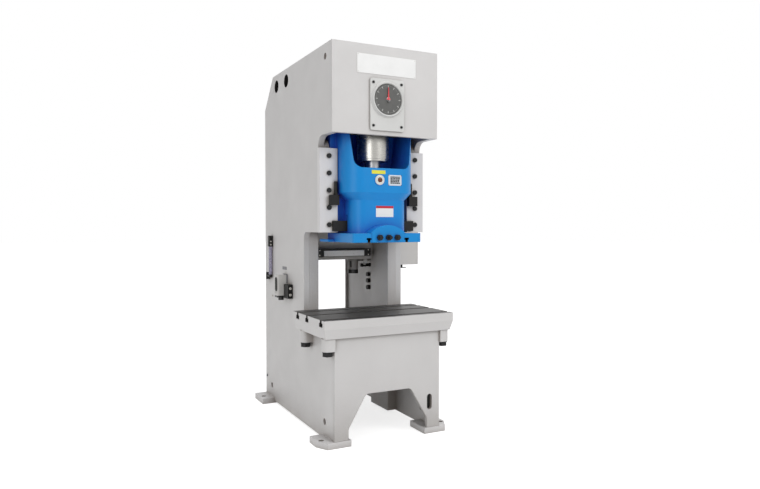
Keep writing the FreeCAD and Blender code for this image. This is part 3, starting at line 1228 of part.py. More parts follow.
def lubricator_fittings():
    """The lubricator's head and the elbow under its tube, on the left side plate."""
    y = (LUBE_Y - LUBE_HEAD_LONG / 2, LUBE_Y + LUBE_HEAD_LONG / 2)
    head = prism_x(rectangle(y, (LUBE_TUBE_TOP_Z, LUBE_TUBE_TOP_Z + LUBE_HEAD_HIGH), LUBE_HEAD_CORNER),
                   (-HALF - LUBE_HEAD_WIDE, -HALF))
    tube_x = -HALF - LUBE_HEAD_WIDE / 2
    low = LUBE_TUBE_LOW_Z
    drop = bar_z(LUBE_DROP_R, tube_x, LUBE_Y, (low - LUBE_DROP, low))
    arm_z = low - LUBE_ARM_DROP
    arm = bar_y(LUBE_ARM_R, tube_x, (LUBE_Y, LUBE_Y + LUBE_ARM_LONG), arm_z)
    half_high = LUBE_ELBOW_HIGH / 2
    turn = bar_z(LUBE_ELBOW_R, tube_x, LUBE_Y + LUBE_ARM_LONG, (arm_z - half_high, arm_z + half_high))
    out, start, end, half = LUBE_CLIP
    clip = block((-HALF - out, -HALF), (LUBE_Y + start, LUBE_Y + end), (arm_z - half, arm_z + half))
    elbow = drop.fuse([arm, turn, clip])
    return [head, elbow]


def lubricator_tube():
    tube_x = -HALF - LUBE_HEAD_WIDE / 2
    return bar_z(LUBE_TUBE_R, tube_x, LUBE_Y, (LUBE_TUBE_LOW_Z, LUBE_TUBE_TOP_Z))


def air_filter():
    """The air filter and regulator on the left side plate, with its drain under it."""
    x = (-HALF - FILTER_WIDE, -HALF)
    body = prism_z([(x[1], FILTER_Y[0], 0), (x[1], FILTER_Y[1], 0), (x[0], FILTER_Y[1], FILTER_CORNER),
                    (x[0], FILTER_Y[0], FILTER_CORNER)], (FILTER_LOW_Z, FILTER_TOP_Z))
    middle_x = (x[0] + x[1]) / 2
    middle_y = (FILTER_Y[0] + FILTER_Y[1]) / 2
    wide, low, high, deep, corner = FILTER_SLOT
    slot = prism_x(rectangle((middle_y - wide / 2, middle_y + wide / 2),
                             (FILTER_LOW_Z + low, FILTER_LOW_Z + high), corner), (x[0] - 1, x[0] + deep))
    drain = bar_z(FILTER_DRAIN_R, middle_x, middle_y, (FILTER_LOW_Z - FILTER_DRAIN_DROP, FILTER_LOW_Z))
    return body.cut(slot).fuse(drain)


def valve_block():
    x = (-HALF - VALVE_WIDE, -HALF)
    return block(x, VALVE_Y, (VALVE_LOW_Z, VALVE_TOP_Z))


def cabinet_shell():
    """The electrical cabinet on the right side plate, open towards its door."""
    x = (HALF, HALF + CABINET_WIDE - CABINET_DOOR)
    z = (CABINET_LOW_Z, CABINET_TOP_Z)
    sheet = CABINET_SHEET
    outside = block(x, CABINET_Y, z)
    inside = block((x[0] + sheet, x[1] + 1), (CABINET_Y[0] + sheet, CABINET_Y[1] - sheet),
                   (z[0] + sheet, z[1] - sheet))
    return outside.cut(inside)


def cabinet_door():
    """The door, a shallow folded tray hinged at its rear edge."""
    x = (HALF + CABINET_WIDE - CABINET_DOOR + DOOR_GAP, HALF + CABINET_WIDE)
    y = CABINET_Y
    z = (CABINET_LOW_Z, CABINET_TOP_Z)
    outside = block(x, y, z)
    sheet = CABINET_SHEET
    inside = block((x[0] - 1, x[1] - sheet), (y[0] + sheet, y[1] - sheet), (z[0] + sheet, z[1] - sheet))
    spindle = bar_x(LATCH_SPINDLE_R + RUN_GAP, (x[0], x[1] + 1), y[0] + LATCH_INSET, (z[0] + z[1]) / 2)
    return outside.cut([inside, spindle])


def door_latch():
    """The quarter-turn latch in the door's front edge."""
    x = HALF + CABINET_WIDE
    y = CABINET_Y[0] + LATCH_INSET
    z = (CABINET_LOW_Z + CABINET_TOP_Z) / 2
    head = bar_x(LATCH_R, (x + RUN_GAP, x + LATCH_HEAD), y, z)
    wide, long, out = LATCH_GRIP
    grip = block((x + LATCH_HEAD - 1, x + out), (y - wide / 2, y + wide / 2), (z - long / 2, z + long / 2))
    spindle = bar_x(LATCH_SPINDLE_R, (x - LATCH_BACK, x + 1), y, z)
    return head.fuse([grip, spindle])


def inner_filter():
    """A filter bowl inside the throat, on an arm from the right side plate."""
    bowl = bar_z(BOWL_R, BOWL_X, BOWL_Y, (BOWL_LOW_Z, BOWL_TOP_Z))
    head = bar_z(BOWL_R + BOWL_RIM, BOWL_X, BOWL_Y, (BOWL_TOP_Z, BOWL_TOP_Z + BOWL_HEAD))
    arm = block((BOWL_X + BOWL_R - BOWL_ARM_IN, INNER), (BOWL_Y - BOWL_ARM_HALF, BOWL_Y + BOWL_ARM_HALF),
                (BOWL_TOP_Z, BOWL_TOP_Z + BOWL_HEAD))
    return bowl.fuse([head, arm])


def cable_glands():
    """Three glands inside the right side plate, and the hook under the cabinet."""
    glands = [bar_x(PLUG_R, (INNER - PLUG_HIGH, INNER), PLUG_Y, z) for z in PLUG_Z]
    low = CABINET_LOW_Z - HOOK_DROP
    stem = bar_z(HOOK_R, HOOK_X, HOOK_Y, (low, CABINET_LOW_Z))
    wire = bar_x(HOOK_WIRE_R, (HOOK_X, HOOK_X + HOOK_REACH), HOOK_Y, low + HOOK_WIRE_R)
    glands.append(stem.fuse(wire))
    return glands


# ---------------------------------------------------------------- all the pieces
def pieces():
    right_plate = side_plate()
    right_gib = gib_plate()
    return {
        "side_plate_left": [mirrored(right_plate)],
        "side_plate_right": [right_plate],
        "head_front_plate": [head_front_plate()],
        "head_top_plate": [head_top_plate()],
        "column_boxes": both_sides(column_box()),
        "throat_cross_plate": [throat_cross_plate()],
        "bed_front_plate": [bed_front_plate()],
        "bed_table_plate": [bed_table_plate()],
        "bed_cross_plate": [bed_cross_plate()],
        "rear_plate": [rear_plate()],
        "rear_guard": [rear_guard()],
        "crank_bearing_wall": [crank_bearing_wall()],
        "gear_bearing_wall": [gear_bearing_wall()],
        "shaft_bushes": shaft_bushes(),
        "foot_pads": foot_pads(),
        "bolster_plate": [bolster_plate()],
        "bolster_lugs": bolster_lugs(),
        "bolster_bolts": bolster_bolts(),
        "gib_plate_left": [mirrored(right_gib)],
        "gib_plate_right": [right_gib],
        "gib_bolts": gib_bolts(),
        "guide_rails": guide_rails(),
        "guide_liners": guide_liners(),
        "knockout_stops": knockout_stops(),
        "balance_cylinders": balance_cylinders(),
        "motor": [motor()],
        "motor_shelf": [motor_shelf()],
        "drive_belt": [drive_belt()],
        "dial_plate": [dial_plate()],
        "dial_ring": [dial_ring()],
        "lubricator_fittings": lubricator_fittings(),
        "lubricator_tube": [lubricator_tube()],
        "air_filter": [air_filter()],
        "valve_block": [valve_block()],
        "electrical_cabinet": [cabinet_shell()],
        "cable_glands": cable_glands(),
        "lamp_housing": [lamp_housing()],
        "lamp_diffuser": [lamp_diffuser()],
        "inner_filter": [inner_filter()],
        "crankshaft": [crankshaft()],
        "bull_gear": [bull_gear()],
        "dial_pointer": [dial_pointer()],
        "connecting_rod": [connecting_rod()],
        "rod_cap": [rod_cap()],
        "rod_bolts": rod_bolts(),
        "rod_sleeve": [rod_sleeve()],
        "adjusting_screw": [adjusting_screw()],
        "slide": [slide_casting()],
        "shank_clamp": [shank_clamp()],
        "clamp_fasteners": clamp_fasteners(),
        "ball_seat": [ball_seat()],
        "slide_gauge": [slide_gauge()],
        "balance_rods": balance_rods(),
        "knockout_bar": [knockout_bar()],
        "pinion_shaft": [pinion_shaft()],
        "clutch_disc": [clutch_disc()],
        "flywheel": [flywheel()],
        "motor_pulley": [motor_pulley()],
        "cabinet_door": [cabinet_door()],
        "door_latch": [door_latch()],
    }


def main():
    os.makedirs("parts", exist_ok=True)
    for name, solids in pieces().items():
        solids = [part for shape in solids for part in shape.Solids]
        whole = solids[0] if len(solids) == 1 else Part.makeCompound(solids)
        whole.exportStep("parts/" + name + ".step")
        print(name, len(solids), "solid(s),", round(whole.Volume / 1e6, 3), "litres, valid", whole.isValid())


main()
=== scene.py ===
import bpy, bmesh, math, random
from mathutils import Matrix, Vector, noise


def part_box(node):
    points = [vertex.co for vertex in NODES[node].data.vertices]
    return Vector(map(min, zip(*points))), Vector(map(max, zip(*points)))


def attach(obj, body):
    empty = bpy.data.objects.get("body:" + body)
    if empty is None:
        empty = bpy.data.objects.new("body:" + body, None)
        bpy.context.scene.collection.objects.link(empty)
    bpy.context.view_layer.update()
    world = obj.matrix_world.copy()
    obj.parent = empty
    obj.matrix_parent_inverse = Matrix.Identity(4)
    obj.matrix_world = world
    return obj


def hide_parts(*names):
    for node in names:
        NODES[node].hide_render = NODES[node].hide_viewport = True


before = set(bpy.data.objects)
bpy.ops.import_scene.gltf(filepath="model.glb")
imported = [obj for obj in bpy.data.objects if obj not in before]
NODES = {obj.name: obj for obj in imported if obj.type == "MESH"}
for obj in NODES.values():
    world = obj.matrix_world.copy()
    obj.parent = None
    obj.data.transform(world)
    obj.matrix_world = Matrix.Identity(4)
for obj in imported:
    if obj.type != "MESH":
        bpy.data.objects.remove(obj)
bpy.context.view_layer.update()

BOXES = {name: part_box(name) for name in NODES}
random.seed(7)

LEFT, RIGHT = (-1, 0, 0), (1, 0, 0)
FRONT, REAR = (0, -1, 0), (0, 1, 0)
DOWN, UP = (0, 0, -1), (0, 0, 1)


# ------------------------------------------------------------------ colours and shader nodes
MIX_FAC, MIX_A, MIX_B, MIX_OUT = 0, 6, 7, 2     # sockets of a Mix node that mixes colours
WHITE = (1.0, 1.0, 1.0, 1.0)


def srgb(r, g, b):
    """Linear colour from 0 to 255 screen values."""
    def lin(v):
        v = v / 255.0
        return v / 12.92 if v <= 0.04045 else ((v + 0.055) / 1.055) ** 2.4
    return (lin(r), lin(g), lin(b), 1.0)


def scaled(c, k):
    """A colour made darker or lighter by a factor."""
    return (c[0] * k, c[1] * k, c[2] * k, 1.0)


def new_material(name):
    m = bpy.data.materials.new(name)
    m.use_nodes = True
    tree = m.node_tree
    tree.nodes.clear()
    out = tree.nodes.new("ShaderNodeOutputMaterial")
    shader = tree.nodes.new("ShaderNodeBsdfPrincipled")
    tree.links.new(shader.outputs[0], out.inputs[0])
    return m, tree, shader


def add(tree, kind, **values):
    """A node with its settings; From_Min stands for the socket From Min."""
    n = tree.nodes.new(kind)
    for key, value in values.items():
        if hasattr(n, key):
            setattr(n, key, value)
        else:
            n.inputs[key.replace("_", " ")].default_value = value
    return n


def feed(tree, socket, value):
    """Sets a socket to a number or colour, or links an output to it."""
    if isinstance(value, (float, tuple)):
        socket.default_value = value
    else:
        tree.links.new(value, socket)


def maths(tree, operation, a, b=0.0):
    n = add(tree, "ShaderNodeMath", operation=operation)
    feed(tree, n.inputs[0], a)
    feed(tree, n.inputs[1], b)
    return n.outputs[0]


def mixed(tree, fac, a, b, blend="MIX"):
    """Colour a where fac is 0 and colour b where it is 1."""
    n = add(tree, "ShaderNodeMix", data_type="RGBA", blend_type=blend)
    feed(tree, n.inputs[MIX_FAC], fac)
    feed(tree, n.inputs[MIX_A], a)
    feed(tree, n.inputs[MIX_B], b)
    return n.outputs[MIX_OUT]


def position(tree, stretch=(1.0, 1.0, 1.0)):
    """Places on the piece, in metres, times stretch."""
    coords = add(tree, "ShaderNodeTexCoord")
    mapping = add(tree, "ShaderNodeMapping", Scale=stretch)
    tree.links.new(coords.outputs["Object"], mapping.inputs["Vector"])
    return mapping.outputs["Vector"]


def parts_of(tree, vector):
    """The x, y and z of a vector."""
    n = tree.nodes.new("ShaderNodeSeparateXYZ")
    tree.links.new(vector, n.inputs[0])
    return n.outputs


def noise_of(tree, where, scale, detail=3.0, rough=0.55):
    n = add(tree, "ShaderNodeTexNoise", Scale=scale, Detail=detail, Roughness=rough)
    tree.links.new(where, n.inputs["Vector"])
    return n.outputs["Fac"]


def ranged(tree, value, low, high, from_low=0.3, from_high=0.7):
    n = add(tree, "ShaderNodeMapRange", From_Min=from_low, From_Max=from_high, To_Min=low, To_Max=high)
    tree.links.new(value, n.inputs["Value"])
    return n.outputs["Result"]


def edge_normal(tree, radius):
    """Normals of edges that look rounded by a radius."""
    return add(tree, "ShaderNodeBevel", samples=4, Radius=radius).outputs["Normal"]


def crevice(tree, distance):
    """0 in deep places and 1 in open ones."""
    return add(tree, "ShaderNodeAmbientOcclusion", samples=6, Distance=distance).outputs["AO"]


def bump_of(tree, height, strength, distance, base):
    n = add(tree, "ShaderNodeBump", Strength=strength, Distance=distance)
    tree.links.new(height, n.inputs["Height"])
    tree.links.new(base, n.inputs["Normal"])
    return n.outputs["Normal"]


def facing_and_place(tree):
    """The face's own direction and the place, each as x, y and z."""
    geometry = tree.nodes.new("ShaderNodeNewGeometry")
    return parts_of(tree, geometry.outputs["True Normal"]), parts_of(tree, position(tree))


# ------------------------------------------------------------------ finishes
# scales are in ripples per metre, heights and reaches in metres
DRIFT_SCALE, DRIFT_DETAIL = 2.6, 4.0            # slow drift of an enamel's colour
WEAR_SCALE, WEAR_DETAIL = 7.0, 5.0              # worn gloss of an enamel
PEEL_SCALE, PEEL_DETAIL, PEEL_HEIGHT = 260.0, 1.0, 0.0006
# how near a wall painted shade with grime darkens an enamel, and over what range
GRIME_AND_SHADE_REACH, GRIME_AND_SHADE_SPAN = 0.05, (0.35, 0.95)
# ranges of the crevice value over which painted shade and dust come into an enamel
DUST_AND_SHADE_SPAN, WIDE_DUST_AND_SHADE_SPAN = (0.12, 0.72), (0.1, 0.85)
MARK_DETAIL, MARK_ROUGH, MARK_HEIGHT = 4.0, 0.7, 0.0004
STAIN_SCALE, STAIN_DETAIL = 5.0, 4.0
TINT_SCALE, SHEEN_SCALE = 12.0, 30.0            # colour and gloss of moulded parts
GRAIN_DETAIL, GRAIN_HEIGHT = 2.0, 0.0005
GLOSS_LESS, GLOSS_MORE = 0.08, 0.1              # how far a moulded part's roughness strays
FACES = 0.5                                     # a normal's least share along the way it faces
SLOT_LIP = 0.004                                # height of a slot's roof edge, painted black as shade
GLASS_IOR = 1.46


def hollow_shade(tree, base, deep, reach, span=DUST_AND_SHADE_SPAN):
    """Dust and weak light in deep places: the base colour goes to a deeper one there."""
    return mixed(tree, ranged(tree, crevice(tree, reach), 0.0, 1.0, *span), deep, base)


def enamel(tree, shader, colour, deep, reach, grime_and_shade_level, mottle, rough, peel, edge, span=DUST_AND_SHADE_SPAN):
    """Colour and gloss of a sprayed coat, with painted shade and grime near corners and in deep places;
    its orange peel goes to the shader's normal.
    """
    where = position(tree)
    drift = ranged(tree, noise_of(tree, where, DRIFT_SCALE, DRIFT_DETAIL), 0.0, 1.0)
    base = mixed(tree, drift, scaled(colour, mottle), colour)
    # painted shade: a dirt-tinted darkening close to corners and walls
    grime_and_shade = ranged(tree, crevice(tree, GRIME_AND_SHADE_REACH), 0.0, 1.0, *GRIME_AND_SHADE_SPAN)
    grime_and_shade_tint = (grime_and_shade_level, grime_and_shade_level * 0.985, grime_and_shade_level * 0.96, 1.0)
    base = mixed(tree, 1.0, base, mixed(tree, grime_and_shade, grime_and_shade_tint, WHITE), "MULTIPLY")
    gloss = ranged(tree, noise_of(tree, where, WEAR_SCALE, WEAR_DETAIL), rough - 0.06, rough + 0.09)
    orange_peel = noise_of(tree, where, PEEL_SCALE, PEEL_DETAIL)
    skin = bump_of(tree, orange_peel, peel, PEEL_HEIGHT, edge_normal(tree, edge))
    tree.links.new(skin, shader.inputs["Normal"])
    return hollow_shade(tree, base, deep, reach, span), gloss


def shaded_slot_walls(tree, base, middle, half, top):
    """Slots along Y at x = -middle and middle, below a height, get black walls as painted shade."""
    facing, place = facing_and_place(tree)
    off = maths(tree, "SUBTRACT", maths(tree, "ABSOLUTE", place[0]), middle)
    inside = maths(tree, "LESS_THAN", maths(tree, "ABSOLUTE", off), half)
    inside = maths(tree, "MULTIPLY", inside, maths(tree, "LESS_THAN", place[2], top))
    wall = maths(tree, "LESS_THAN", maths(tree, "ABSOLUTE", facing[1]), FACES)
    above = maths(tree, "GREATER_THAN", facing[2], -FACES)
    roof_edge = maths(tree, "GREATER_THAN", place[2], top - SLOT_LIP)
    wall = maths(tree, "MULTIPLY", wall, maths(tree, "MAXIMUM", above, roof_edge))
    return mixed(tree, maths(tree, "MULTIPLY", inside, wall), base, srgb(14, 14, 16))


def paint(name, colour, deep, reach=0.5, rough=0.42, edge=0.004, peel=0.16, grime_and_shade_level=0.86,
          span=DUST_AND_SHADE_SPAN, specular=0.5, slots=None):
    """Sprayed enamel: orange peel, slight colour drift, worn gloss, and dust with painted shade in the
    corners and deep places.
    """
    m, tree, shader = new_material(name)
    base, gloss = enamel(tree, shader, colour, deep, reach, grime_and_shade_level, 0.94, rough, peel, edge, span)
    if slots:
        base = shaded_slot_walls(tree, base, *slots)
    tree.links.new(base, shader.inputs["Base Color"])
    tree.links.new(gloss, shader.inputs["Roughness"])
    shader.inputs["Specular IOR Level"].default_value = specular
    return m


def metal(name, colour, rough=0.3, stretch=(1, 1, 1), scale=90.0, grain=0.25, drift=0.85,
          metallic=1.0):
    """Machined or ground steel, with its tool marks along one direction."""
    m, tree, shader = new_material(name)
    shader.inputs["Metallic"].default_value = metallic
    marks = noise_of(tree, position(tree, stretch), scale, MARK_DETAIL, MARK_ROUGH)
    stain = ranged(tree, noise_of(tree, position(tree), STAIN_SCALE, STAIN_DETAIL), 0.0, 1.0)
    tree.links.new(mixed(tree, stain, scaled(colour, drift), colour), shader.inputs["Base Color"])
    tree.links.new(ranged(tree, marks, rough * 0.75, rough * 1.35), shader.inputs["Roughness"])
    scratches = bump_of(tree, marks, grain, MARK_HEIGHT, edge_normal(tree, 0.002))
    tree.links.new(scratches, shader.inputs["Normal"])
    return m


def table_material(name, colour, deep, ground, stain, front, rear):
    """Ground steel on top and in the slots, with painted shade deep in the slots; enamel on the outer
    faces between front and rear.
    """
    m, tree, shader = new_material(name)
    facing, place = facing_and_place(tree)
    across = maths(tree, "GREATER_THAN", maths(tree, "ABSOLUTE", facing[0]), FACES)
    ahead = maths(tree, "LESS_THAN", facing[1], -FACES)
    ahead = maths(tree, "MULTIPLY", ahead, maths(tree, "LESS_THAN", place[1], front))
    behind = maths(tree, "GREATER_THAN", facing[1], FACES)
    behind = maths(tree, "MULTIPLY", behind, maths(tree, "GREATER_THAN", place[1], rear))
    outer = maths(tree, "MAXIMUM", across, maths(tree, "MAXIMUM", ahead, behind))
    painted, _ = enamel(tree, shader, colour, deep, 0.1, 0.9, 0.95, 0.45, 0.16, 0.003)
    marks = noise_of(tree, position(tree, (0.05, 1.0, 1.0)), 150.0, MARK_DETAIL, MARK_ROUGH)
    marks = mixed(tree, ranged(tree, marks, 0.0, 1.0), scaled(WHITE, 0.82), WHITE)
    clouds = ranged(tree, noise_of(tree, position(tree), 4.0, 5.0), 0.0, 1.0)
    bare = mixed(tree, 1.0, mixed(tree, clouds, stain, ground), marks, "MULTIPLY")
    # painted shade: the bare steel goes near black deep in the T-slots
    bare = hollow_shade(tree, bare, srgb(8, 8, 8), 0.06)
    steel_share = maths(tree, "MULTIPLY", maths(tree, "SUBTRACT", 1.0, outer), 0.55)
    tree.links.new(mixed(tree, outer, bare, painted), shader.inputs["Base Color"])
    tree.links.new(steel_share, shader.inputs["Metallic"])
    tree.links.new(ranged(tree, outer, 0.42, 0.47, 0.0, 1.0), shader.inputs["Roughness"])
    return m


def fine_grain(tree, shader, where, rough, grain, scale, edge):
    """Gloss and grain of a moulded surface."""
    sheen = noise_of(tree, where, SHEEN_SCALE)
    tree.links.new(ranged(tree, sheen, rough - GLOSS_LESS, rough + GLOSS_MORE),
                   shader.inputs["Roughness"])
    bumps = noise_of(tree, where, scale, GRAIN_DETAIL)
    tree.links.new(bump_of(tree, bumps, grain, GRAIN_HEIGHT, edge_normal(tree, edge)),
                   shader.inputs["Normal"])


def two_tone(name, low_colour, colour, level, rough=0.42):
    """A moulded part that is one colour below a height and another above it."""
    m, tree, shader = new_material(name)
    where = position(tree)
    above = maths(tree, "GREATER_THAN", parts_of(tree, where)[2], level)
    tint = noise_of(tree, where, TINT_SCALE)
    upper = mixed(tree, tint, scaled(colour, 0.8), scaled(colour, 1.1))
    lower = mixed(tree, tint, scaled(low_colour, 0.8), scaled(low_colour, 1.2))
    tree.links.new(mixed(tree, above, lower, upper), shader.inputs["Base Color"])
    fine_grain(tree, shader, where, rough, 0.12, 400.0, 0.002)
    return m


def moulded(name, colour, rough=0.5, edge=0.0015, grain=0.12, scale=500.0, metallic=0.0,
            vary=(0.75, 1.2), specular=0.5):
    """Moulded plastic, rubber or blackened steel with a fine grain."""
    m, tree, shader = new_material(name)
    shader.inputs["Specular IOR Level"].default_value = specular
    shader.inputs["Metallic"].default_value = metallic
    where = position(tree)
    tint = noise_of(tree, where, TINT_SCALE)
    tree.links.new(mixed(tree, tint, scaled(colour, vary[0]), scaled(colour, vary[1])),
                   shader.inputs["Base Color"])
    fine_grain(tree, shader, where, rough, grain, scale, edge)
    return m


def glassy(name, colour, rough, weight):
    """Clear or milky plastic and glass."""
    m, tree, shader = new_material(name)
    where = position(tree)
    tree.links.new(mixed(tree, noise_of(tree, where, 9.0), scaled(colour, 0.94), colour),
                   shader.inputs["Base Color"])
    tree.links.new(ranged(tree, noise_of(tree, where, 60.0), rough * 0.7, rough * 1.4),
                   shader.inputs["Roughness"])
    shader.inputs["Transmission Weight"].default_value = weight
    shader.inputs["IOR"].default_value = GLASS_IOR
    return m


# ------------------------------------------------------------------ materials
GREY = srgb(213, 211, 210)
# the colour that painted shade and dust bring the grey enamels to in deep places
SHADE_AND_DUST = srgb(132, 122, 114)
BLACK = srgb(19, 18, 18)
filter_lo, _ = BOXES["air_filter"]
bowl_lo, bowl_hi = BOXES["inner_filter"]
table_lo, table_hi = BOXES["bolster_plate"]
ring_lo, ring_hi = BOXES["dial_ring"]
dial_z = (ring_lo.z + ring_hi.z) / 2
SLIDE_SLOTS = (0.150, 0.0195, 1.4355)           # x of the slots, their half width and top
TABLE_SKIN = 0.03                               # enamel lies within this of front and rear
FILTER_BOWL, INNER_BOWL = 0.038, 0.033          # heights of the dark bowls
NEEDLE_SPLIT = 0.004                            # the needle is red from this far below its hub
HEAVY = dict(rough=0.45, edge=0.005, span=WIDE_DUST_AND_SHADE_SPAN)

# an enamel's second colour and reach set the painted shade it takes in deep places
MAT = {
    # one grey enamel in three copies whose painted shade reaches 0.6, 0.3 and 0.1 m
    "frame": paint("frame_enamel", GREY, SHADE_AND_DUST, 0.6, **HEAVY),
    "side": paint("side_enamel", GREY, SHADE_AND_DUST, 0.3, **HEAVY),
    "cross": paint("cross_enamel", GREY, SHADE_AND_DUST, 0.1, **HEAVY),
    "gib": paint("gib_enamel", srgb(224, 222, 222), SHADE_AND_DUST, 0.12, rough=0.42, edge=0.003),
    "dial_light": paint("dial_enamel", srgb(214, 214, 212), srgb(150, 150, 150), 0.05, rough=0.38,
                        edge=0.002, peel=0.1),
    # the slide's navy second colour is painted shade in its hollows
    "blue": paint("slide_enamel", srgb(14, 142, 218), srgb(34, 68, 178), 0.3, rough=0.34,
                  edge=0.006, peel=0.2, grime_and_shade_level=0.85, span=(0.2, 0.88), specular=0.3,
                  slots=SLIDE_SLOTS),
    "cabinet": paint("cabinet_enamel", srgb(212, 209, 206), SHADE_AND_DUST, 0.2, rough=0.5, edge=0.003,
                     peel=0.3),
    "motor": paint("motor_enamel", srgb(120, 128, 134), srgb(50, 54, 58), 0.1, rough=0.5,
                   edge=0.002, peel=0.3),
    "table": table_material("ground_table", GREY, SHADE_AND_DUST, srgb(93, 91, 89), srgb(76, 73, 71),
                            table_lo.y + TABLE_SKIN, table_hi.y - TABLE_SKIN),
    "steel": metal("machined_steel", srgb(168, 168, 170), rough=0.32, scale=120.0),
    "sleeve": metal("turned_sleeve", srgb(178, 176, 171), rough=0.27, stretch=(0.04, 0.04, 1.0),
                    scale=420.0, grain=0.16, drift=0.93),
    "cast": moulded("cast_iron", srgb(92, 92, 92), rough=0.55, edge=0.003, grain=0.5, scale=140.0,
                    metallic=0.6),
    "bronze": metal("bronze", srgb(190, 150, 90), rough=0.35, scale=200.0),
    "black_steel": moulded("black_steel", srgb(30, 28, 27), rough=0.45, edge=0.002, grain=0.35,
                           scale=260.0, specular=0.22),
    "bolt": moulded("bolt_black", srgb(27, 27, 28), rough=0.4, edge=0.0012, specular=0.25),
    "bright": metal("bolt_bright", srgb(200, 198, 192), rough=0.3, scale=300.0),
    "black_plastic": moulded("black_plastic", BLACK, rough=0.45, specular=0.22),
    "inside": moulded("socket_inside", srgb(20, 19, 18), rough=0.8, grain=0.4),
    "dial_face": moulded("dial_face", srgb(86, 86, 84), rough=0.55, grain=0.05),
    "tick": moulded("tick_white", srgb(190, 190, 187), rough=0.5, grain=0.02, vary=(0.9, 1.05)),
    "needle": two_tone("needle_red", srgb(80, 80, 78), srgb(226, 62, 72), dial_z - NEEDLE_SPLIT,
                       rough=0.45),
    "rubber": moulded("belt_rubber", srgb(34, 34, 35), rough=0.65, grain=0.3),
    "filter": two_tone("filter_grey", BLACK, srgb(206, 204, 201), filter_lo.z + FILTER_BOWL),
    "bowl": two_tone("bowl_grey", BLACK, srgb(150, 146, 143), bowl_lo.z + INNER_BOWL),
    "white": moulded("plate_white", srgb(240, 240, 239), rough=0.4, grain=0.03, vary=(0.95, 1.02)),
    "red": moulded("label_red", srgb(196, 32, 52), rough=0.45, grain=0.02),
    "yellow": moulded("tag_yellow", srgb(232, 226, 66), rough=0.42, grain=0.02),
    "plate_dark": moulded("plate_dark", srgb(26, 28, 33), rough=0.4, grain=0.02),
    "tag_grey": metal("tag_grey", srgb(128, 128, 132), rough=0.5, scale=300.0, metallic=0.3),
    "plate_grey": metal("plate_grey", srgb(196, 202, 208), rough=0.4, scale=300.0, metallic=0.6),
    "weld": paint("weld_enamel", scaled(GREY, 0.95), SHADE_AND_DUST, 0.6, rough=0.48, edge=0.001, peel=0.4,
                  span=WIDE_DUST_AND_SHADE_SPAN),
    "tube": glassy("oil_tube", srgb(172, 168, 190), 0.25, 0.35),
    "lens": glassy("lamp_lens", srgb(244, 242, 240), 0.35, 0.1),
    "sight": glassy("sight_oil", srgb(120, 62, 40), 0.1, 0.3),
}

# every CAD node that isn't named here has the frame's enamel
CAD_LOOK = {
    "side": ["side_plate_left", "side_plate_right"],
    "cross": ["throat_cross_plate"],
    "gib": ["gib_plate_left", "gib_plate_right", "foot_pads"],
    "dial_light": ["dial_plate", "dial_ring"],
    "blue": ["slide", "shank_clamp"],
    "cabinet": ["electrical_cabinet", "cabinet_door", "rear_guard"],
    "motor": ["motor"],
    "table": ["bolster_plate"],
    "steel": ["balance_rods", "crankshaft", "connecting_rod", "rod_cap", "pinion_shaft",
              "ball_seat", "adjusting_screw", "door_latch"],
    "sleeve": ["rod_sleeve"],
    "cast": ["bull_gear", "flywheel", "clutch_disc", "motor_pulley"],
    "bronze": ["guide_liners", "shaft_bushes"],
    "black_steel": ["knockout_bar", "knockout_stops", "balance_cylinders"],
    "bolt": ["bolster_bolts", "rod_bolts", "gib_bolts", "clamp_fasteners"],
    "black_plastic": ["lamp_housing", "lubricator_fittings", "cable_glands", "valve_block"],
    "needle": ["dial_pointer"],
    "rubber": ["drive_belt"],
    "filter": ["air_filter"],
    "bowl": ["inner_filter"],
    "tube": ["lubricator_tube"],
    "lens": ["lamp_diffuser"],
    "white": ["slide_gauge"],
}
LOOK_OF = {node: look for look, nodes in CAD_LOOK.items() for node in nodes}
for name, obj in NODES.items():
    obj.data.materials.clear()
    obj.data.materials.append(MAT[LOOK_OF.get(name, "frame")])

# look, body and slot of the commonest small parts
BRIGHT = ("bright", "frame", "machined_steel")
BLACK_BOLT = ("bolt", "frame", "bolt_black")
BLACK_PART = ("black_plastic", "frame", "black_parts")


# ------------------------------------------------------------------ mesh helpers
SHARP_ANGLE, BEVEL_ANGLE = math.radians(35), math.radians(40)
CORNER_STEPS = 6
BEAD_PITCH, BEAD_SIDES = 0.007, 6
WASHER_THICK = 0.003


def finish_piece(bm, name, look, body, slot, bevel=0.0):
    bmesh.ops.recalc_face_normals(bm, faces=bm.faces)
    mesh = bpy.data.meshes.new(name)
    bm.to_mesh(mesh)
    bm.free()
    obj = bpy.data.objects.new(name, mesh)
    bpy.context.scene.collection.objects.link(obj)
    mesh.materials.append(MAT[look])
    mesh.shade_smooth()
    mesh.set_sharp_from_angle(angle=SHARP_ANGLE)
    if bevel:
        mod = obj.modifiers.new("edges", "BEVEL")
        mod.width = bevel
        mod.segments = 2
        mod.limit_method = "ANGLE"
        mod.angle_limit = BEVEL_ANGLE
        mod.harden_normals = False
    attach(obj, body)
    return obj


def add_box(bm, x, y, z):
    verts = [bm.verts.new((a, b, c)) for a in x for b in y for c in z]
    for f in ((0, 1, 3, 2), (4, 6, 7, 5), (0, 4, 5, 1), (2, 3, 7, 6), (0, 2, 6, 4), (1, 5, 7, 3)):
        bm.faces.new([verts[i] for i in f])


def frame_axes(axis):
    """Two directions square to an axis."""
    axis = Vector(axis).normalized()
    side = Vector(UP) if abs(axis.z) < 0.9 else Vector(RIGHT)
    u = axis.cross(side).normalized()
    return u, axis.cross(u)


def ring_of(bm, centre, u, v, radius, steps):
    """A ring of vertices about a centre, in the plane of u and v."""
    turns = [2 * math.pi * i / steps for i in range(steps)]
    return [bm.verts.new(centre + (u * math.cos(t) + v * math.sin(t)) * radius) for t in turns]


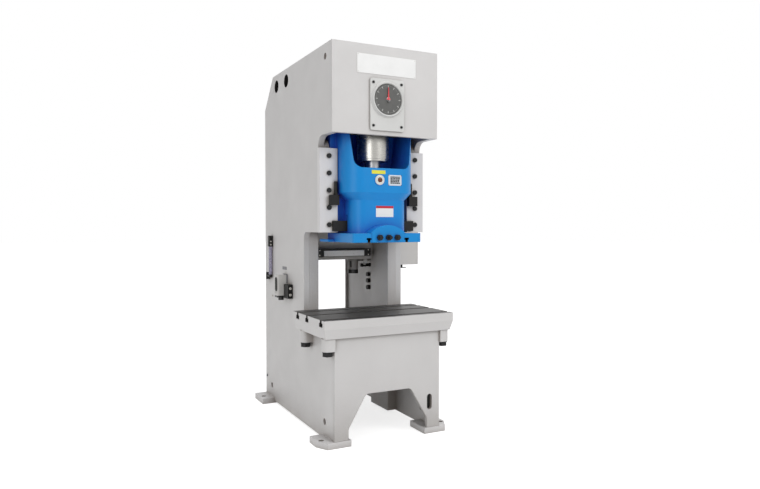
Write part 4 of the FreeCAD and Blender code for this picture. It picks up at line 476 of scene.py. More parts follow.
def bridge(bm, a, b):
    """Faces between two rings of the same length."""
    for i in range(len(a)):
        j = (i + 1) % len(a)
        bm.faces.new((a[i], a[j], b[j], b[i]))


def close_ends(bm, first, last):
    bm.faces.new(list(reversed(first)))
    bm.faces.new(last)


def add_turned(bm, centre, axis, profile, steps=32):
    """A solid of revolution from (radius, height along axis) points, closed at both ends."""
    axis, centre = Vector(axis).normalized(), Vector(centre)
    u, v = frame_axes(axis)
    rings = [ring_of(bm, centre + axis * h, u, v, r, steps) for r, h in profile]
    for a, b in zip(rings, rings[1:]):
        bridge(bm, a, b)
    close_ends(bm, rings[0], rings[-1])


def add_ring(bm, centre, axis, inner, outer, low, high, steps=40):
    """A ring between two radii and two heights along its axis."""
    axis, centre = Vector(axis).normalized(), Vector(centre)
    u, v = frame_axes(axis)
    corners = ((inner, low), (outer, low), (outer, high), (inner, high))
    loops = [ring_of(bm, centre + axis * h, u, v, r, steps) for r, h in corners]
    for a, b in zip(loops, loops[1:] + loops[:1]):
        bridge(bm, a, b)


def add_outline(bm, points, plane, low, high):
    """A flat plate from outline points; plane puts (a, b, level) in space."""
    a = [bm.verts.new(plane(p[0], p[1], low)) for p in points]
    b = [bm.verts.new(plane(p[0], p[1], high)) for p in points]
    close_ends(bm, a, b)
    bridge(bm, a, b)


def on_front(a, b, level):
    return (a, level, b)


def on_side(a, b, level):
    return (level, a, b)


def on_top(a, b, level):
    return (a, b, level)


def inset(pair, distance):
    """Both ends of a span, moved towards each other."""
    return (pair[0] + distance, pair[1] - distance)


def round_rect(a, b, radius):
    """Outline points of a rectangle with round corners, from its two spans."""
    points = []
    centres = ((a[1] - radius, b[1] - radius, 0), (a[0] + radius, b[1] - radius, 90),
               (a[0] + radius, b[0] + radius, 180), (a[1] - radius, b[0] + radius, 270))
    for ca, cb, start in centres:
        for i in range(CORNER_STEPS + 1):
            t = math.radians(start + 90.0 * i / CORNER_STEPS)
            points.append((ca + radius * math.cos(t), cb + radius * math.sin(t)))
    return points


def flat_plate(name, a, b, radius, plane, low, high, look, body, slot, bevel=0.0):
    """A thin plate with round corners between two levels of a plane."""
    bm = bmesh.new()
    add_outline(bm, round_rect(a, b, radius), plane, low, high)
    return finish_piece(bm, name, look, body, slot, bevel)


def plate_front(name, x, z, y, thick, radius, look, body, slot, bevel=0.0006):
    """A thin plate on a face that looks along -Y; y is the face it lies on."""
    return flat_plate(name, x, z, radius, on_front, y, y - thick, look, body, slot, bevel)


def socket_screws(name, places, axis, r, high, look, body, slot):
    """Socket head screws: a chamfered head with a round socket sunk in it."""
    bm = bmesh.new()
    head = [(r, 0), (r, high - r * 0.12), (r * 0.88, high), (r * 0.5, high), (r * 0.46, high * 0.45)]
    for place in places:
        add_turned(bm, place, axis, head, 24)
    return finish_piece(bm, name, look, body, slot)


def hex_bolts(name, places, axis, across, high, look, body, slot, washer=0.0):
    """Hexagon heads with a chamfered top, on a washer where one is given."""
    bm = bmesh.new()
    r = across / math.sqrt(3.0)
    thick = WASHER_THICK if washer else 0.0
    for place in places:
        if washer:
            add_turned(bm, place, axis, [(washer, 0), (washer, thick * 0.7), (washer * 0.96, thick)], 24)
        add_turned(bm, place, axis, [(r, thick), (r, high - r * 0.14), (r * 0.9, high)], 6)
    return finish_piece(bm, name, look, body, slot, 0.0006)


def radial_mark(bm, centre, turn, start, end, half, low, high):
    """A thin bar that points outward on a dial."""
    c, s = math.sin(turn), math.cos(turn)
    corners = [(start, -half), (end, -half), (end, half), (start, half)]
    points = [(centre[0] + r * c + t * s, centre[1] + r * s - t * c) for r, t in corners]
    add_outline(bm, points, on_front, low, high)


def weld_bead(bm, a, b, radius):
    """A ripple of weld along the line a to b."""
    a, b = Vector(a), Vector(b)
    length = (b - a).length
    u, v = frame_axes((b - a).normalized())
    count = max(3, int(length / BEAD_PITCH))
    rings = []
    for i in range(count + 1):
        p = a + (b - a) * (i / count)
        r = radius * (0.82 + 0.18 * math.sin(i * 2.1) + 0.16 * noise.noise(p * 90.0))
        rings.append(ring_of(bm, p, u, v, r, BEAD_SIDES))
    for first, second in zip(rings, rings[1:]):
        bridge(bm, first, second)
    close_ends(bm, rings[0], rings[-1])


def beads(name, lines, radius):
    """Weld beads along several lines of the frame."""
    bm = bmesh.new()
    for start, end in lines:
        weld_bead(bm, start, end, radius)
    return finish_piece(bm, name, "weld", "frame", "frame_paint")


# ------------------------------------------------------------------ places from the CAD nodes
dial_lo, _ = BOXES["dial_plate"]
head_lo, head_hi = BOXES["head_front_plate"]
sight_lo, sight_hi = BOXES["slide_gauge"]
left_lo, left_hi = BOXES["side_plate_left"]
right_lo, _ = BOXES["side_plate_right"]
rear_lo, rear_hi = BOXES["rear_plate"]
top_z = head_hi.z
body_y, neck_y = sight_hi.y, -0.645             # fronts of the slide's body and neck

# ------------------------------------------------------------------ dial
BEZEL_STEPS = 96
FACE_R, FACE_HUB_R, FACE_THICK = 0.1055, 0.018, 0.0015
MINUTES, MINUTES_PER_LONG = 60, 5
TICK_END = 0.098
LONG_TICK, SHORT_TICK = (0.083, 0.0024), (0.093, 0.0008)    # inner radius and half width
dial_y = BOXES["dial_pointer"][1].y + 0.006
deep = ring_hi.y - ring_lo.y
ring_r = (ring_hi.z - ring_lo.z) / 2
bezel = [(ring_r, 0.0), (ring_r, 0.0012), (ring_r - 0.0012, 0.0022), (ring_r - 0.008, 0.6 * deep),
         (ring_r - 0.0095, deep - 0.0015), (ring_r - 0.0110, deep), (ring_r - 0.0165, deep),
         (ring_r - 0.0185, deep - 0.0012), (ring_r - 0.0215, 0.45 * deep),
         (ring_r - 0.0235, 0.2 * deep), (ring_r - 0.0235, 0.0)]
bm = bmesh.new()
loops = []
for r, h in bezel:
    turns = [2 * math.pi * i / BEZEL_STEPS for i in range(BEZEL_STEPS)]
    loops.append([bm.verts.new((r * math.cos(t), ring_hi.y - h, dial_z + r * math.sin(t)))
                  for t in turns])
for a, b in zip(loops, loops[1:] + loops[:1]):
    bridge(bm, a, b)
bezel_piece = finish_piece(bm, "dial_bezel", "dial_light", "frame", "dial_paint")
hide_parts("dial_ring")
bm = bmesh.new()
add_turned(bm, (0.0, dial_y, dial_z), FRONT,
           [(FACE_R, 0), (FACE_R, FACE_THICK), (FACE_HUB_R, FACE_THICK)], 64)
finish_piece(bm, "dial_face", "dial_face", "frame", "dial_face")
bm = bmesh.new()
for i in range(MINUTES):
    start, half = SHORT_TICK if i % MINUTES_PER_LONG else LONG_TICK
    radial_mark(bm, (0.0, dial_z), math.radians(i * 360 / MINUTES), start, TICK_END, half,
                dial_y - 0.0014, dial_y - 0.0021)
finish_piece(bm, "dial_ticks", "tick", "frame", "plate_white")
places = [(x, dial_lo.y, z) for x in (-0.111, 0.111) for z in (2.220, 2.520)]
socket_screws("dial_screws", places, FRONT, 0.0095, 0.006, *BLACK_BOLT)

# ------------------------------------------------------------------ bare plates
NAME_X, NAME_Z, NAME_THICK = (-0.230, 0.235), (2.578, 2.712), 0.0025
DATA_X, DATA_Z, DATA_THICK = (0.037, 0.144), (1.809, 1.885), 0.0016
CARD_X, CARD_Z, CARD_THICK = (-0.0522, 0.088), (1.5835, 1.663), 0.001
BAND_Z = (1.646, CARD_Z[1])
plate_front("name_plate", NAME_X, NAME_Z, head_lo.y, NAME_THICK, 0.004, "white", "frame", "plate_white")
places = [(x, head_lo.y - NAME_THICK, z) for x in inset(NAME_X, 0.008) for z in inset(NAME_Z, 0.008)]
socket_screws("name_plate_rivets", places, FRONT, 0.0028, 0.0012, *BRIGHT)
plate_front("tag_on_slide", (-0.0955, 0.0129), (1.889, 1.9145), body_y, 0.001, 0.001, "yellow",
            "slide", "plate_white", 0.0)
plate_front("data_plate", DATA_X, DATA_Z, body_y, DATA_THICK, 0.003, "plate_grey", "slide",
            "machined_steel")

# generic dark fields of random widths on the data plate
FIELD_ROWS, FIELD_TOP, FIELD_PITCH, FIELD_HIGH = 5, 1.8745, 0.0108, 0.0084
FIELD_START, FIELD_LAST, FIELD_END = 0.0530, 0.124, 0.1305
bm = bmesh.new()
for row in range(FIELD_ROWS):
    z = FIELD_TOP - row * FIELD_PITCH
    x = FIELD_START
    while x < FIELD_LAST:
        x1 = min(x + random.uniform(0.008, 0.019), FIELD_END)
        add_box(bm, (x, x1), (body_y - 0.0022, body_y - 0.0015), (z - FIELD_HIGH, z))
        x = x1 + random.uniform(0.0016, 0.003)
finish_piece(bm, "data_plate_fields", "plate_dark", "slide", "dial_face")
places = [(x, body_y - DATA_THICK, z) for x in inset(DATA_X, 0.0035) for z in inset(DATA_Z, 0.0035)]
socket_screws("data_plate_screws", places, FRONT, 0.0028, 0.0016, "bolt", "slide", "bolt_black")
plate_front("slide_card", CARD_X, CARD_Z, neck_y, CARD_THICK, 0.0015, "white", "slide",
            "plate_white", 0.0)
plate_front("slide_card_band", CARD_X, BAND_Z, neck_y - CARD_THICK, 0.0004, 0.001, "red", "slide",
            "plate_white", 0.0)

# the thin lip that widens the flange's rear part
LIP_HALF, LIP_Y, LIP_Z = 0.322, (-0.400, -0.245), (1.4032, 1.4232)
bm = bmesh.new()
lip = [(-LIP_HALF, LIP_Y[0]), (LIP_HALF, LIP_Y[0]), (LIP_HALF, LIP_Y[1]), (-LIP_HALF, LIP_Y[1])]
add_outline(bm, lip, on_top, *LIP_Z)
finish_piece(bm, "flange_lip", "blue", "slide", "slide_paint", 0.002)

# ------------------------------------------------------------------ oil sight on the slide
GLASS_SHARE, RIM_SHARE = 0.52, 0.9              # of the sight's radius
sight_r = (sight_hi.x - sight_lo.x) / 2
sight_place = ((sight_lo.x + sight_hi.x) / 2, sight_lo.y, (sight_lo.z + sight_hi.z) / 2)
bm = bmesh.new()
add_ring(bm, sight_place, FRONT, sight_r * GLASS_SHARE, sight_r * RIM_SHARE, 0.0, 0.002, 48)
finish_piece(bm, "sight_rim", "bright", "slide", "machined_steel", 0.0006)
bm = bmesh.new()
dome = [(sight_r * GLASS_SHARE * math.cos(t), 0.0005 + 0.003 * math.sin(t))
        for t in [math.radians(a) for a in (0, 18, 36, 54, 72, 88)]]
add_turned(bm, sight_place, FRONT, dome, 40)
finish_piece(bm, "sight_glass", "sight", "slide", "dial_face")

# ------------------------------------------------------------------ fittings on the left side
places = [(-0.4385, BOXES["valve_block"][0].y, z) for z in (1.0256, 0.975)]
socket_screws("valve_screws", places, FRONT, 0.0105, 0.006, *BRIGHT)
places = [(-0.438, BOXES["lubricator_fittings"][0].y, z) for z in (1.388, 1.3606)]
socket_screws("lubricator_screws", places, FRONT, 0.0065, 0.005, *BRIGHT)
flat_plate("filter_sight", (0.222, 0.276), (0.994, 1.107), 0.022, on_side, filter_lo.x,
           filter_lo.x - 0.0012, "inside", "frame", "black_parts")
flat_plate("side_tag", (0.236, 0.338), (1.1633, 1.1886), 0.002, on_side, left_lo.x,
           left_lo.x - 0.001, "tag_grey", "frame", "machined_steel")
socket_screws("side_screw", [(left_lo.x, 0.602, 0.920)], LEFT, 0.009, 0.006, *BRIGHT)
socket_screws("side_stud", [(left_lo.x, 0.762, 0.202)], LEFT, 0.010, 0.008, "tag_grey", "frame",
              "machined_steel")

# a dark sheet behind the slot in the bed's front: painted shade in the slot
flat_plate("leg_slot_shade_sheet", (0.3045, 0.3655), (0.168, 0.301), 0.028, on_front, -0.7151, -0.7126,
           "inside", "frame", "black_parts")

# the bent strap that holds the filter: over its top and down its front
bm = bmesh.new()
outer = [(0.300, 1.1315), (0.222, 1.1315), (0.2115, 1.128), (0.2085, 1.117), (0.2085, 1.058)]
inner = [(0.300, 1.1265), (0.2235, 1.1265), (0.2155, 1.1235), (0.2135, 1.1155), (0.2135, 1.058)]
add_outline(bm, outer + inner[::-1], on_side, left_lo.x, left_lo.x - 0.011)
finish_piece(bm, "filter_strap", "tag_grey", "frame", "machined_steel")

# ------------------------------------------------------------------ what shows in the side holes: black cups and liners as painted shade, and grey plugs
LIFTING_HOLES, LIFTING_R = [(0.233, 2.684), (0.477, 2.684)], 0.0515
HEAD_HOLE, HEAD_HOLE_R = (-0.589, 2.692), 0.0225
SOCKET_DEEP, SOCKET_FLOOR, SOCKET_RIM = 0.046, 0.040, 0.009
for side, wall, sign in (("left", left_hi.x, 1.0), ("right", right_lo.x, -1.0)):
    inward, outward = (sign, 0, 0), (-sign, 0, 0)
    bm = bmesh.new()
    # black cups and liners paint the shade inside the lifting holes
    r = LIFTING_R
    cup = [(r + SOCKET_RIM, 0.0), (r + SOCKET_RIM, SOCKET_DEEP), (0.004, SOCKET_DEEP),
           (0.004, SOCKET_FLOOR), (r, SOCKET_FLOOR), (r, 0.0)]
    for hole in LIFTING_HOLES:
        add_turned(bm, (wall, *hole), inward, cup, 40)
    finish_piece(bm, "hole_shade_cups_" + side, "inside", "frame", "bolt_black")
    bm = bmesh.new()
    for hole in LIFTING_HOLES:
        add_ring(bm, (wall, *hole), outward, r - 0.0016, r - 0.0002, 0.002, 0.0442, 40)
    finish_piece(bm, "hole_shade_liners_" + side, "black_steel", "frame", "bolt_black")
    bm = bmesh.new()
    r = HEAD_HOLE_R
    plug = [(r - 0.0003, 0.012), (r - 0.0003, 0.024), (r - 0.004, 0.027)]
    add_turned(bm, (wall, *HEAD_HOLE), outward, plug, 32)
    finish_piece(bm, "head_plug_" + side, "gib", "frame", "frame_paint")

# ------------------------------------------------------------------ throat: lamp and air fittings
lamp_lo, lamp_hi = BOXES["lamp_housing"]
lens_lo, lens_hi = BOXES["lamp_diffuser"]
bm = bmesh.new()
for rise in (0.012, 0.022, 0.032):
    z = lens_lo.z + rise
    add_box(bm, (lens_lo.x + 0.004, lens_hi.x - 0.004), (lens_lo.y - 0.0012, lens_lo.y + 0.001),
            (z - 0.0012, z + 0.0012))
finish_piece(bm, "lamp_ribs", "lens", "frame", "lamp_white", 0.0004)
places = [(x, lamp_lo.y, z) for x in (lamp_lo.x + 0.022, lamp_hi.x - 0.022)
          for z in (lamp_lo.z + 0.012, lamp_hi.z - 0.012)]
socket_screws("lamp_screws", places, FRONT, 0.005, 0.003, *BRIGHT)

PIPE_Z = 1.183
bowl_x, bowl_y = bowl_lo.x + 0.050, (bowl_lo.y + bowl_hi.y) / 2
bm = bmesh.new()
add_box(bm, (0.262, right_lo.x), (bowl_y - 0.013, bowl_y + 0.013), (PIPE_Z - 0.013, PIPE_Z + 0.013))
for x in (0.275, 0.300, 0.345):
    add_turned(bm, (x, bowl_y, PIPE_Z), RIGHT,
               [(0.017, 0.0), (0.0185, 0.002), (0.0185, 0.010), (0.017, 0.012)], 6)
finish_piece(bm, "air_fitting", "black_plastic", "frame", "black_parts", 0.0015)

GAUGE_X, GAUGE_Z, GAUGE_GLASS = 0.288, 1.2175, 0.0136
GAUGE_MARKS, GAUGE_FIRST, GAUGE_STEP = 11, -135, 27         # degrees from upright
gauge_y = bowl_y - 0.033
bm = bmesh.new()
add_turned(bm, (GAUGE_X, gauge_y, GAUGE_Z), FRONT,
           [(0.006, -0.010), (0.019, -0.008), (0.0225, 0.0), (0.0225, 0.014), (0.021, 0.016),
            (0.020, 0.016), (0.0195, 0.0135)], 40)
add_box(bm, (0.281, 0.295), (bowl_y - 0.034, bowl_y), (1.186, 1.200))
finish_piece(bm, "air_gauge_case", "filter", "frame", "filter_grey")
bm = bmesh.new()
add_turned(bm, (GAUGE_X, gauge_y - GAUGE_GLASS, GAUGE_Z), FRONT,
           [(0.019, 0.0), (0.019, 0.0006), (0.002, 0.0006)], 40)
finish_piece(bm, "air_gauge_face", "white", "frame", "plate_white")
bm = bmesh.new()
mark_y = gauge_y - 0.0141
for i in range(GAUGE_MARKS):
    radial_mark(bm, (GAUGE_X, GAUGE_Z), math.radians(GAUGE_FIRST + GAUGE_STEP * i), 0.0135, 0.0165,
                0.0005, mark_y, gauge_y - 0.0146)
needle = [(GAUGE_X - 0.001, GAUGE_Z - 0.003), (GAUGE_X + 0.001, GAUGE_Z - 0.003),
          (GAUGE_X - 0.009, GAUGE_Z + 0.010)]
add_outline(bm, needle, on_front, mark_y, gauge_y - 0.0150)
finish_piece(bm, "air_gauge_marks", "plate_dark", "frame", "dial_face")
# a small black rod beside the bowl
bm = bmesh.new()
add_turned(bm, (bowl_x - 0.038, bowl_lo.y + 0.010, 1.170), UP,
           [(0.004, 0.0), (0.0055, 0.003), (0.0055, 0.052), (0.004, 0.054)], 16)
finish_piece(bm, "bowl_side_rod", *BLACK_PART)

# ------------------------------------------------------------------ electrical cabinet
case_lo, case_hi = BOXES["electrical_cabinet"]
door_lo, door_hi = BOXES["cabinet_door"]
HINGES_Z, HINGE_R, KNUCKLE_PITCH, KNUCKLE_HALF = (1.34, 1.60, 1.86), 0.0055, 0.022, 0.0105
bm, leaf = bmesh.new(), bmesh.new()
knuckle = [(HINGE_R * 0.8, 0.0), (HINGE_R, 0.001), (HINGE_R, 0.020), (HINGE_R * 0.8, 0.021)]
for z in HINGES_Z:
    for k, mesh in ((-1, bm), (0, leaf), (1, bm)):
        low = z + k * KNUCKLE_PITCH - KNUCKLE_HALF
        add_turned(mesh, (door_hi.x, door_hi.y, low), UP, knuckle, 16)
finish_piece(bm, "hinge_knuckles", *BRIGHT)
finish_piece(leaf, "hinge_knuckles_door", "bright", "cabinet_door", "machined_steel")
flat_plate("door_plate", (0.060, 0.190), (1.800, 1.880), 0.003, on_side, door_hi.x,
           door_hi.x + 0.0012, "plate_grey", "cabinet_door", "machined_steel")

SEAL_INSET, SEAL_WIDE = 0.008, 0.012
seal_x = (door_lo.x - 0.0012 + 0.002, door_lo.x - 0.0012 + 0.009)
y0, y1 = door_lo.y + SEAL_INSET, door_hi.y - SEAL_INSET
z0, z1 = door_lo.z + SEAL_INSET, door_hi.z - SEAL_INSET
bm = bmesh.new()
for y, z in (((y0, y1), (z0, z0 + SEAL_WIDE)), ((y0, y1), (z1 - SEAL_WIDE, z1)),
             ((y0, y0 + SEAL_WIDE), (z0, z1)), ((y1 - SEAL_WIDE, y1), (z0, z1))):
    add_box(bm, seal_x, y, z)
finish_piece(bm, "door_seal", "rubber", "cabinet_door", "belt_rubber", 0.001)

rain_y = (case_lo.y - 0.003, case_hi.y + 0.003)
bm = bmesh.new()
add_box(bm, (case_lo.x, case_hi.x + 0.006), rain_y, (case_hi.z, case_hi.z + 0.002))
add_box(bm, (case_hi.x + 0.004, case_hi.x + 0.006), rain_y, (case_hi.z, case_hi.z + 0.010))
finish_piece(bm, "cabinet_rain_lip", "cabinet", "frame", "cabinet_paint", 0.0008)

TAB_THICK, TAB_HALF, TAB_LONG, TAB_HOLE = 0.004, 0.022, 0.036, 0.020
bm = bmesh.new()
tabs = []
for y in (0.0, 0.31):
    for z, step in ((case_hi.z + 0.002, 1), (case_lo.z, -1)):
        add_box(bm, (case_lo.x, case_lo.x + TAB_THICK), (y - TAB_HALF, y + TAB_HALF),
                tuple(sorted((z, z + step * TAB_LONG))))
        tabs.append((case_lo.x + TAB_THICK, y, z + step * TAB_HOLE))
finish_piece(bm, "cabinet_tabs", "cabinet", "frame", "cabinet_paint", 0.0008)
hex_bolts("cabinet_bolts", tabs, RIGHT, 0.013, 0.010, *BRIGHT, washer=0.010)
bm = bmesh.new()
for y in (0.060, 0.115, 0.170, 0.225):
    place = (0.495, y, case_lo.z)
    add_turned(bm, place, DOWN, [(0.016, 0.0), (0.016, 0.005), (0.0145, 0.006)], 6)
    add_turned(bm, place, DOWN, [(0.0125, 0.005), (0.0125, 0.016), (0.010, 0.021), (0.006, 0.021),
                                 (0.006, 0.018)], 24)
finish_piece(bm, "cabinet_glands", *BLACK_PART)

# what stands inside the cabinet: a mounting plate, wiring ducts and rows of breakers
PANEL_THICK = 0.002
panel_x = case_lo.x + 0.010
panel_front = panel_x + PANEL_THICK
bm = bmesh.new()
add_box(bm, (panel_x, panel_front), (case_lo.y + 0.030, case_hi.y - 0.030),
        (case_lo.z + 0.040, case_hi.z - 0.040))
for y in (case_lo.y + 0.045, case_hi.y - 0.045):
    for z in (case_lo.z + 0.055, case_hi.z - 0.055):
        add_turned(bm, (case_lo.x + 0.003, y, z), RIGHT,
                   [(0.007, 0.0), (0.007, 0.012), (0.005, 0.014)], 12)
finish_piece(bm, "mounting_plate", "plate_grey", "frame", "machined_steel")

DUCTS = [(1.265, 1.305), (1.475, 1.515), (1.695, 1.735), (1.905, 1.945)]
DUCT_Y, DUCT_RIBS, RIB_START, RIB_PITCH, RIB_WIDE = (-0.115, 0.425), 44, -0.108, 0.0122, 0.005
bm = bmesh.new()
for low, high in DUCTS:
    add_box(bm, (panel_front, panel_x + 0.052), DUCT_Y, (low, high))
    for i in range(DUCT_RIBS):
        y = RIB_START + i * RIB_PITCH
        for z in (low - 0.0006, high + 0.0006):
            add_box(bm, (panel_x + 0.020, panel_x + 0.050), (y, y + RIB_WIDE), (z - 0.0012, z + 0.0012))
finish_piece(bm, "wiring_ducts", "filter", "frame", "filter_grey")

# rows of breakers: middle height, body height, body width, how many
BREAKER_ROWS = [(1.390, 0.075, 0.022, 17), (1.605, 0.088, 0.045, 9), (1.820, 0.080, 0.036, 11)]
bm, dark = bmesh.new(), bmesh.new()
for z, high, wide, count in BREAKER_ROWS:
    half = high / 2
    for i in range(count):
        y = -0.085 + i * (wide + 0.004 + random.uniform(0.0, 0.0015))
        out = panel_x + 0.060 + random.choice((0.0, 0.008))
        add_box(bm, (panel_front, out), (y, y + wide), (z - half, z + half))
        add_box(dark, (out - 0.001, out + 0.006), (y + wide * 0.3, y + wide * 0.7),
                (z - 0.012, z + 0.012))
        for edge in (-1, 1):
            add_turned(dark, (out, y + wide / 2, z + edge * (half - 0.009)), RIGHT,
                       [(0.0035, -0.001), (0.0035, 0.0008)], 10)
finish_piece(bm, "breaker_bodies", "plate_dark", "frame", "black_parts", 0.0012)
finish_piece(dark, "breaker_toggles", "tick", "frame", "plate_white", 0.0006)

# ------------------------------------------------------------------ rear guard and rear plate
guard_lo, guard_hi = BOXES["rear_guard"]
GUARD_EDGE, GUARD_SIDE_BOLTS = 0.011, 5
sheet_y = rear_hi.y + 0.003
bolt_span = guard_hi.z - guard_lo.z - 2 * GUARD_EDGE
places = []
for i in range(GUARD_SIDE_BOLTS):
    z = guard_lo.z + GUARD_EDGE + i * bolt_span / (GUARD_SIDE_BOLTS - 1)
    places += [(x, sheet_y, z) for x in (guard_lo.x + GUARD_EDGE, guard_hi.x - GUARD_EDGE)]
places += [(x, sheet_y, z) for x in (-0.16, 0.0, 0.16)
           for z in (guard_lo.z + GUARD_EDGE, guard_hi.z - GUARD_EDGE)]
hex_bolts("guard_bolts", places, REAR, 0.013, 0.009, *BRIGHT, washer=0.0095)

HANDLE_X, HANDLE_FEET_Z, HANDLE_Z, HANDLE_LONG = 0.18, (2.085, 2.205), 2.079, 0.132
bm = bmesh.new()
for x in (-HANDLE_X, HANDLE_X):
    for z in HANDLE_FEET_Z:
        add_turned(bm, (x, guard_hi.y, z), REAR,
                   [(0.011, 0.0), (0.011, 0.003), (0.006, 0.004), (0.006, 0.030)], 16)
    add_turned(bm, (x, guard_hi.y + 0.027, HANDLE_Z), UP,
               [(0.004, 0.0), (0.0065, 0.004), (0.0065, 0.128), (0.004, HANDLE_LONG)], 16)
finish_piece(bm, "guard_handles", *BLACK_PART)

LOUVRES, LOUVRE_PITCH, LOUVRE_X, LOUVRE_HALF = 7, 0.024, 0.150, 0.075
bm = bmesh.new()
for x in (-LOUVRE_X, LOUVRE_X):
    for i in range(LOUVRES):
        z = guard_lo.z + 0.070 + i * LOUVRE_PITCH
        hood = [(guard_hi.y - 0.001, z + 0.0045), (guard_hi.y + 0.006, z - 0.0015),
                (guard_hi.y + 0.006, z - 0.0028), (guard_hi.y - 0.001, z + 0.0028)]
        add_outline(bm, hood, on_side, x - LOUVRE_HALF, x + LOUVRE_HALF)
finish_piece(bm, "guard_louvres", "cabinet", "frame", "cabinet_paint", 0.0005)
flat_plate("rear_plate_tag", (-0.300, -0.150), (0.500, 0.600), 0.003, on_front, rear_hi.y,
           rear_hi.y + 0.0012, "plate_grey", "frame", "machined_steel")
hex_bolts("earth_bolt", [(0.330, rear_hi.y, 0.420)], REAR, 0.017, 0.014, *BRIGHT, washer=0.014)

# ------------------------------------------------------------------ service cover on top
COVER_THICK, COVER_BOLT_X, COVER_BOLT_Y = 0.005, 0.155, (-0.465, -0.325, -0.195, -0.055)
cover_z = top_z + COVER_THICK
flat_plate("top_cover", (-0.170, 0.170), (-0.480, -0.040), 0.020, on_top, top_z, cover_z, "frame",
           "frame", "frame_paint", 0.001)
places = [(x, y, cover_z) for x in (-COVER_BOLT_X, COVER_BOLT_X) for y in COVER_BOLT_Y]
places += [(0.0, y, cover_z) for y in (COVER_BOLT_Y[0], COVER_BOLT_Y[-1])]
hex_bolts("top_cover_bolts", places, UP, 0.013, 0.009, *BRIGHT, washer=0.0095)

# ------------------------------------------------------------------ motor
motor_lo, motor_hi = BOXES["motor"]
MOTOR_Z = 1.480
GRILLE_RADII, GRILLE_BAR, SPOKES, SPOKE_HALF = (0.026, 0.044, 0.062, 0.080, 0.098), 0.004, 8, 0.002
spoke = ((0.012, -SPOKE_HALF), (0.108, -SPOKE_HALF), (0.108, SPOKE_HALF), (0.012, SPOKE_HALF))
bm = bmesh.new()
for r in GRILLE_RADII:
    add_ring(bm, (0, motor_lo.y, MOTOR_Z), FRONT, r, r + GRILLE_BAR, 0.0, 0.004, 48)
for i in range(SPOKES):
    t = 2 * math.pi * i / SPOKES
    c, s = math.cos(t), math.sin(t)
    points = [(u * c - v * s, MOTOR_Z + u * s + v * c) for u, v in spoke]
    add_outline(bm, points, on_front, motor_lo.y, motor_lo.y - 0.003)
add_turned(bm, (0, motor_lo.y, MOTOR_Z), FRONT, [(0.014, 0.0), (0.014, 0.003), (0.011, 0.005)], 24)
finish_piece(bm, "motor_grille", *BLACK_PART)
places = [(0.1 * math.cos(t), motor_hi.y, MOTOR_Z + 0.1 * math.sin(t))
          for t in [math.pi / 4 + k * math.pi / 2 for k in range(4)]]
hex_bolts("motor_shield_bolts", places, REAR, 0.010, 0.007, *BLACK_BOLT)
places = [(x, y, motor_hi.z) for x in (-0.045, 0.045)
          for y in (motor_lo.y + 0.130, motor_lo.y + 0.220)]
socket_screws("terminal_box_screws", places, UP, 0.0045, 0.003, *BRIGHT)

# ------------------------------------------------------------------ weld beads
SLOPE_Y, SLOPE_Z, FRONT_SEAM_Y = 0.573, 2.530, -0.670       # where the rear slope starts and ends
PAD_Z, PADS_Y = 0.046, ((-0.700, -0.545), (0.575, 0.790))
CROSS_BEAD_TOP = 0.740
cross_lo, cross_hi = BOXES["throat_cross_plate"]
wall_lo, wall_hi = BOXES["bed_cross_plate"]
shelf_lo, shelf_hi = BOXES["motor_shelf"]
seams, lines = [], []
for sign in (-1, 1):
    x = sign * rear_hi.x
    seams.append(((x, rear_hi.y, rear_lo.z + 0.01), (x, rear_hi.y, SLOPE_Z - 0.01)))
    seams.append(((x, FRONT_SEAM_Y, top_z), (x, SLOPE_Y - 0.005, top_z)))
    seams.append(((x, SLOPE_Y + 0.005, top_z - 0.005), (x, rear_hi.y - 0.005, SLOPE_Z + 0.005)))
    for y0, y1 in PADS_Y:
        for wall in (left_lo.x, left_hi.x):
            lines.append(((sign * wall, y0, PAD_Z), (sign * wall, y1, PAD_Z)))
    x = sign * cross_hi.x
    for y in (cross_lo.y, cross_hi.y):
        lines.append(((x, y, cross_lo.z + 0.005), (x, y, cross_hi.z - 0.01)))
    x = sign * wall_hi.x
    lines.append(((x, wall_hi.y, wall_lo.z + 0.01), (x, wall_hi.y, CROSS_BEAD_TOP)))
    x = sign * rear_hi.x
    lines.append(((x, shelf_lo.y + 0.02, shelf_lo.z), (x, shelf_hi.y - 0.01, shelf_lo.z)))
beads("seam_beads", seams, 0.0032)
beads("frame_beads", lines, 0.005)

# ------------------------------------------------------------------ camera
CAMERA_PLACE, CAMERA_LENS = (-2.1482, -4.7929, 1.5166), 30.84
CAMERA_DOWN, CAMERA_RIGHT = 1.596, 27.16        # degrees from level and from straight ahead
camera_data = bpy.data.cameras.new("camera")
camera_data.sensor_width = 36.0
camera_data.lens = CAMERA_LENS
camera_data.clip_end = 200.0
camera = bpy.data.objects.new("camera", camera_data)
bpy.context.scene.collection.objects.link(camera)
camera.location = CAMERA_PLACE
camera.rotation_euler = (math.radians(90 - CAMERA_DOWN), 0.0, -math.radians(CAMERA_RIGHT))
bpy.context.scene.camera = camera

# ------------------------------------------------------------------ floor, world and lights
FLOOR_R, FLOOR_Z, FLOOR_GREY, FLOOR_GLOW = 60.0, -0.001, 0.80, 0.75
SOFT_LIGHT, WHITE_LIGHT = 0.5, 1.0


def seen_rays(tree):
    """1 for rays from the camera, straight, by gloss or through glass, and 0 for light on things."""
    rays = tree.nodes.new("ShaderNodeLightPath").outputs
    seen = maths(tree, "MAXIMUM", rays["Is Camera Ray"], rays["Is Glossy Ray"])
    return maths(tree, "MAXIMUM", seen, rays["Is Transmission Ray"])


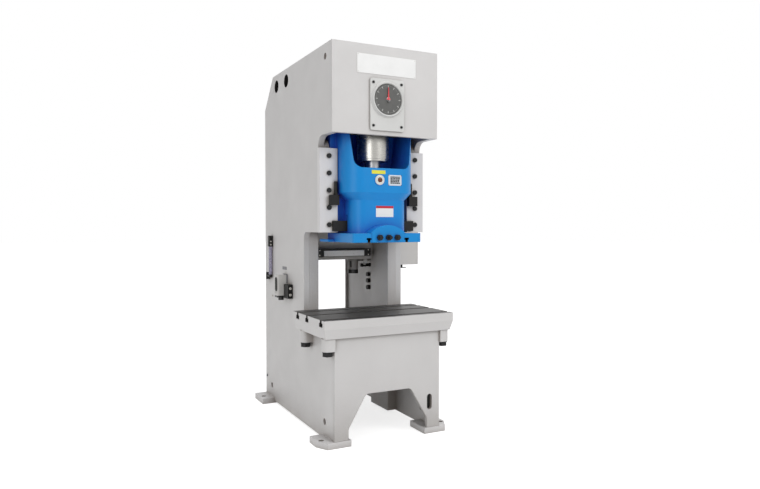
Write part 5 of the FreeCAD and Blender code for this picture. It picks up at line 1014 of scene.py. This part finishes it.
def backdrop_material():
    """A matt pale floor that glows up to white where it is seen."""
    m = bpy.data.materials.new("floor_white")
    m.use_nodes = True
    tree = m.node_tree
    tree.nodes.clear()
    out = tree.nodes.new("ShaderNodeOutputMaterial")
    matte = add(tree, "ShaderNodeBsdfDiffuse", Color=scaled(WHITE, FLOOR_GREY))
    glow = tree.nodes.new("ShaderNodeEmission")
    tree.links.new(maths(tree, "MULTIPLY", seen_rays(tree), FLOOR_GLOW), glow.inputs["Strength"])
    both = tree.nodes.new("ShaderNodeAddShader")
    tree.links.new(matte.outputs[0], both.inputs[0])
    tree.links.new(glow.outputs[0], both.inputs[1])
    tree.links.new(both.outputs[0], out.inputs[0])
    return m


bm = bmesh.new()
bmesh.ops.create_circle(bm, cap_ends=True, radius=FLOOR_R, segments=96)
floor_mesh = bpy.data.meshes.new("floor")
bm.to_mesh(floor_mesh)
bm.free()
floor = bpy.data.objects.new("floor", floor_mesh)
floor.location = (0, 0, FLOOR_Z)
floor_mesh.materials.append(backdrop_material())
bpy.context.scene.collection.objects.link(floor)

world = bpy.data.worlds.new("studio")
bpy.context.scene.world = world
world.use_nodes = True
tree = world.node_tree
tree.nodes.clear()
out = tree.nodes.new("ShaderNodeOutputWorld")
soft = add(tree, "ShaderNodeBackground", Strength=SOFT_LIGHT, Color=WHITE)
white = add(tree, "ShaderNodeBackground", Strength=WHITE_LIGHT, Color=WHITE)
mix = tree.nodes.new("ShaderNodeMixShader")
tree.links.new(seen_rays(tree), mix.inputs[0])
tree.links.new(soft.outputs[0], mix.inputs[1])
tree.links.new(white.outputs[0], mix.inputs[2])
tree.links.new(mix.outputs[0], out.inputs[0])


def area_light(name, place, target, size, power):
    """A square light that looks from a place to a target."""
    data = bpy.data.lights.new(name, "AREA")
    data.shape = "RECTANGLE"
    data.size = size
    data.size_y = size
    data.energy = power
    obj = bpy.data.objects.new(name, data)
    bpy.context.scene.collection.objects.link(obj)
    obj.location = place
    obj.rotation_euler = (Vector(target) - Vector(place)).to_track_quat("-Z", "Y").to_euler()


area_light("key", (3.2, -7.2, 5.6), (0, -0.3, 1.6), 3.5, 178)
area_light("fill", (-6.2, -5.4, 2.9), (0, 0, 1.3), 4.0, 112)
area_light("top", (0.5, -1.0, 7.5), (0, 0, 1.0), 4.0, 125)

bpy.context.scene.view_settings.view_transform = "Standard"
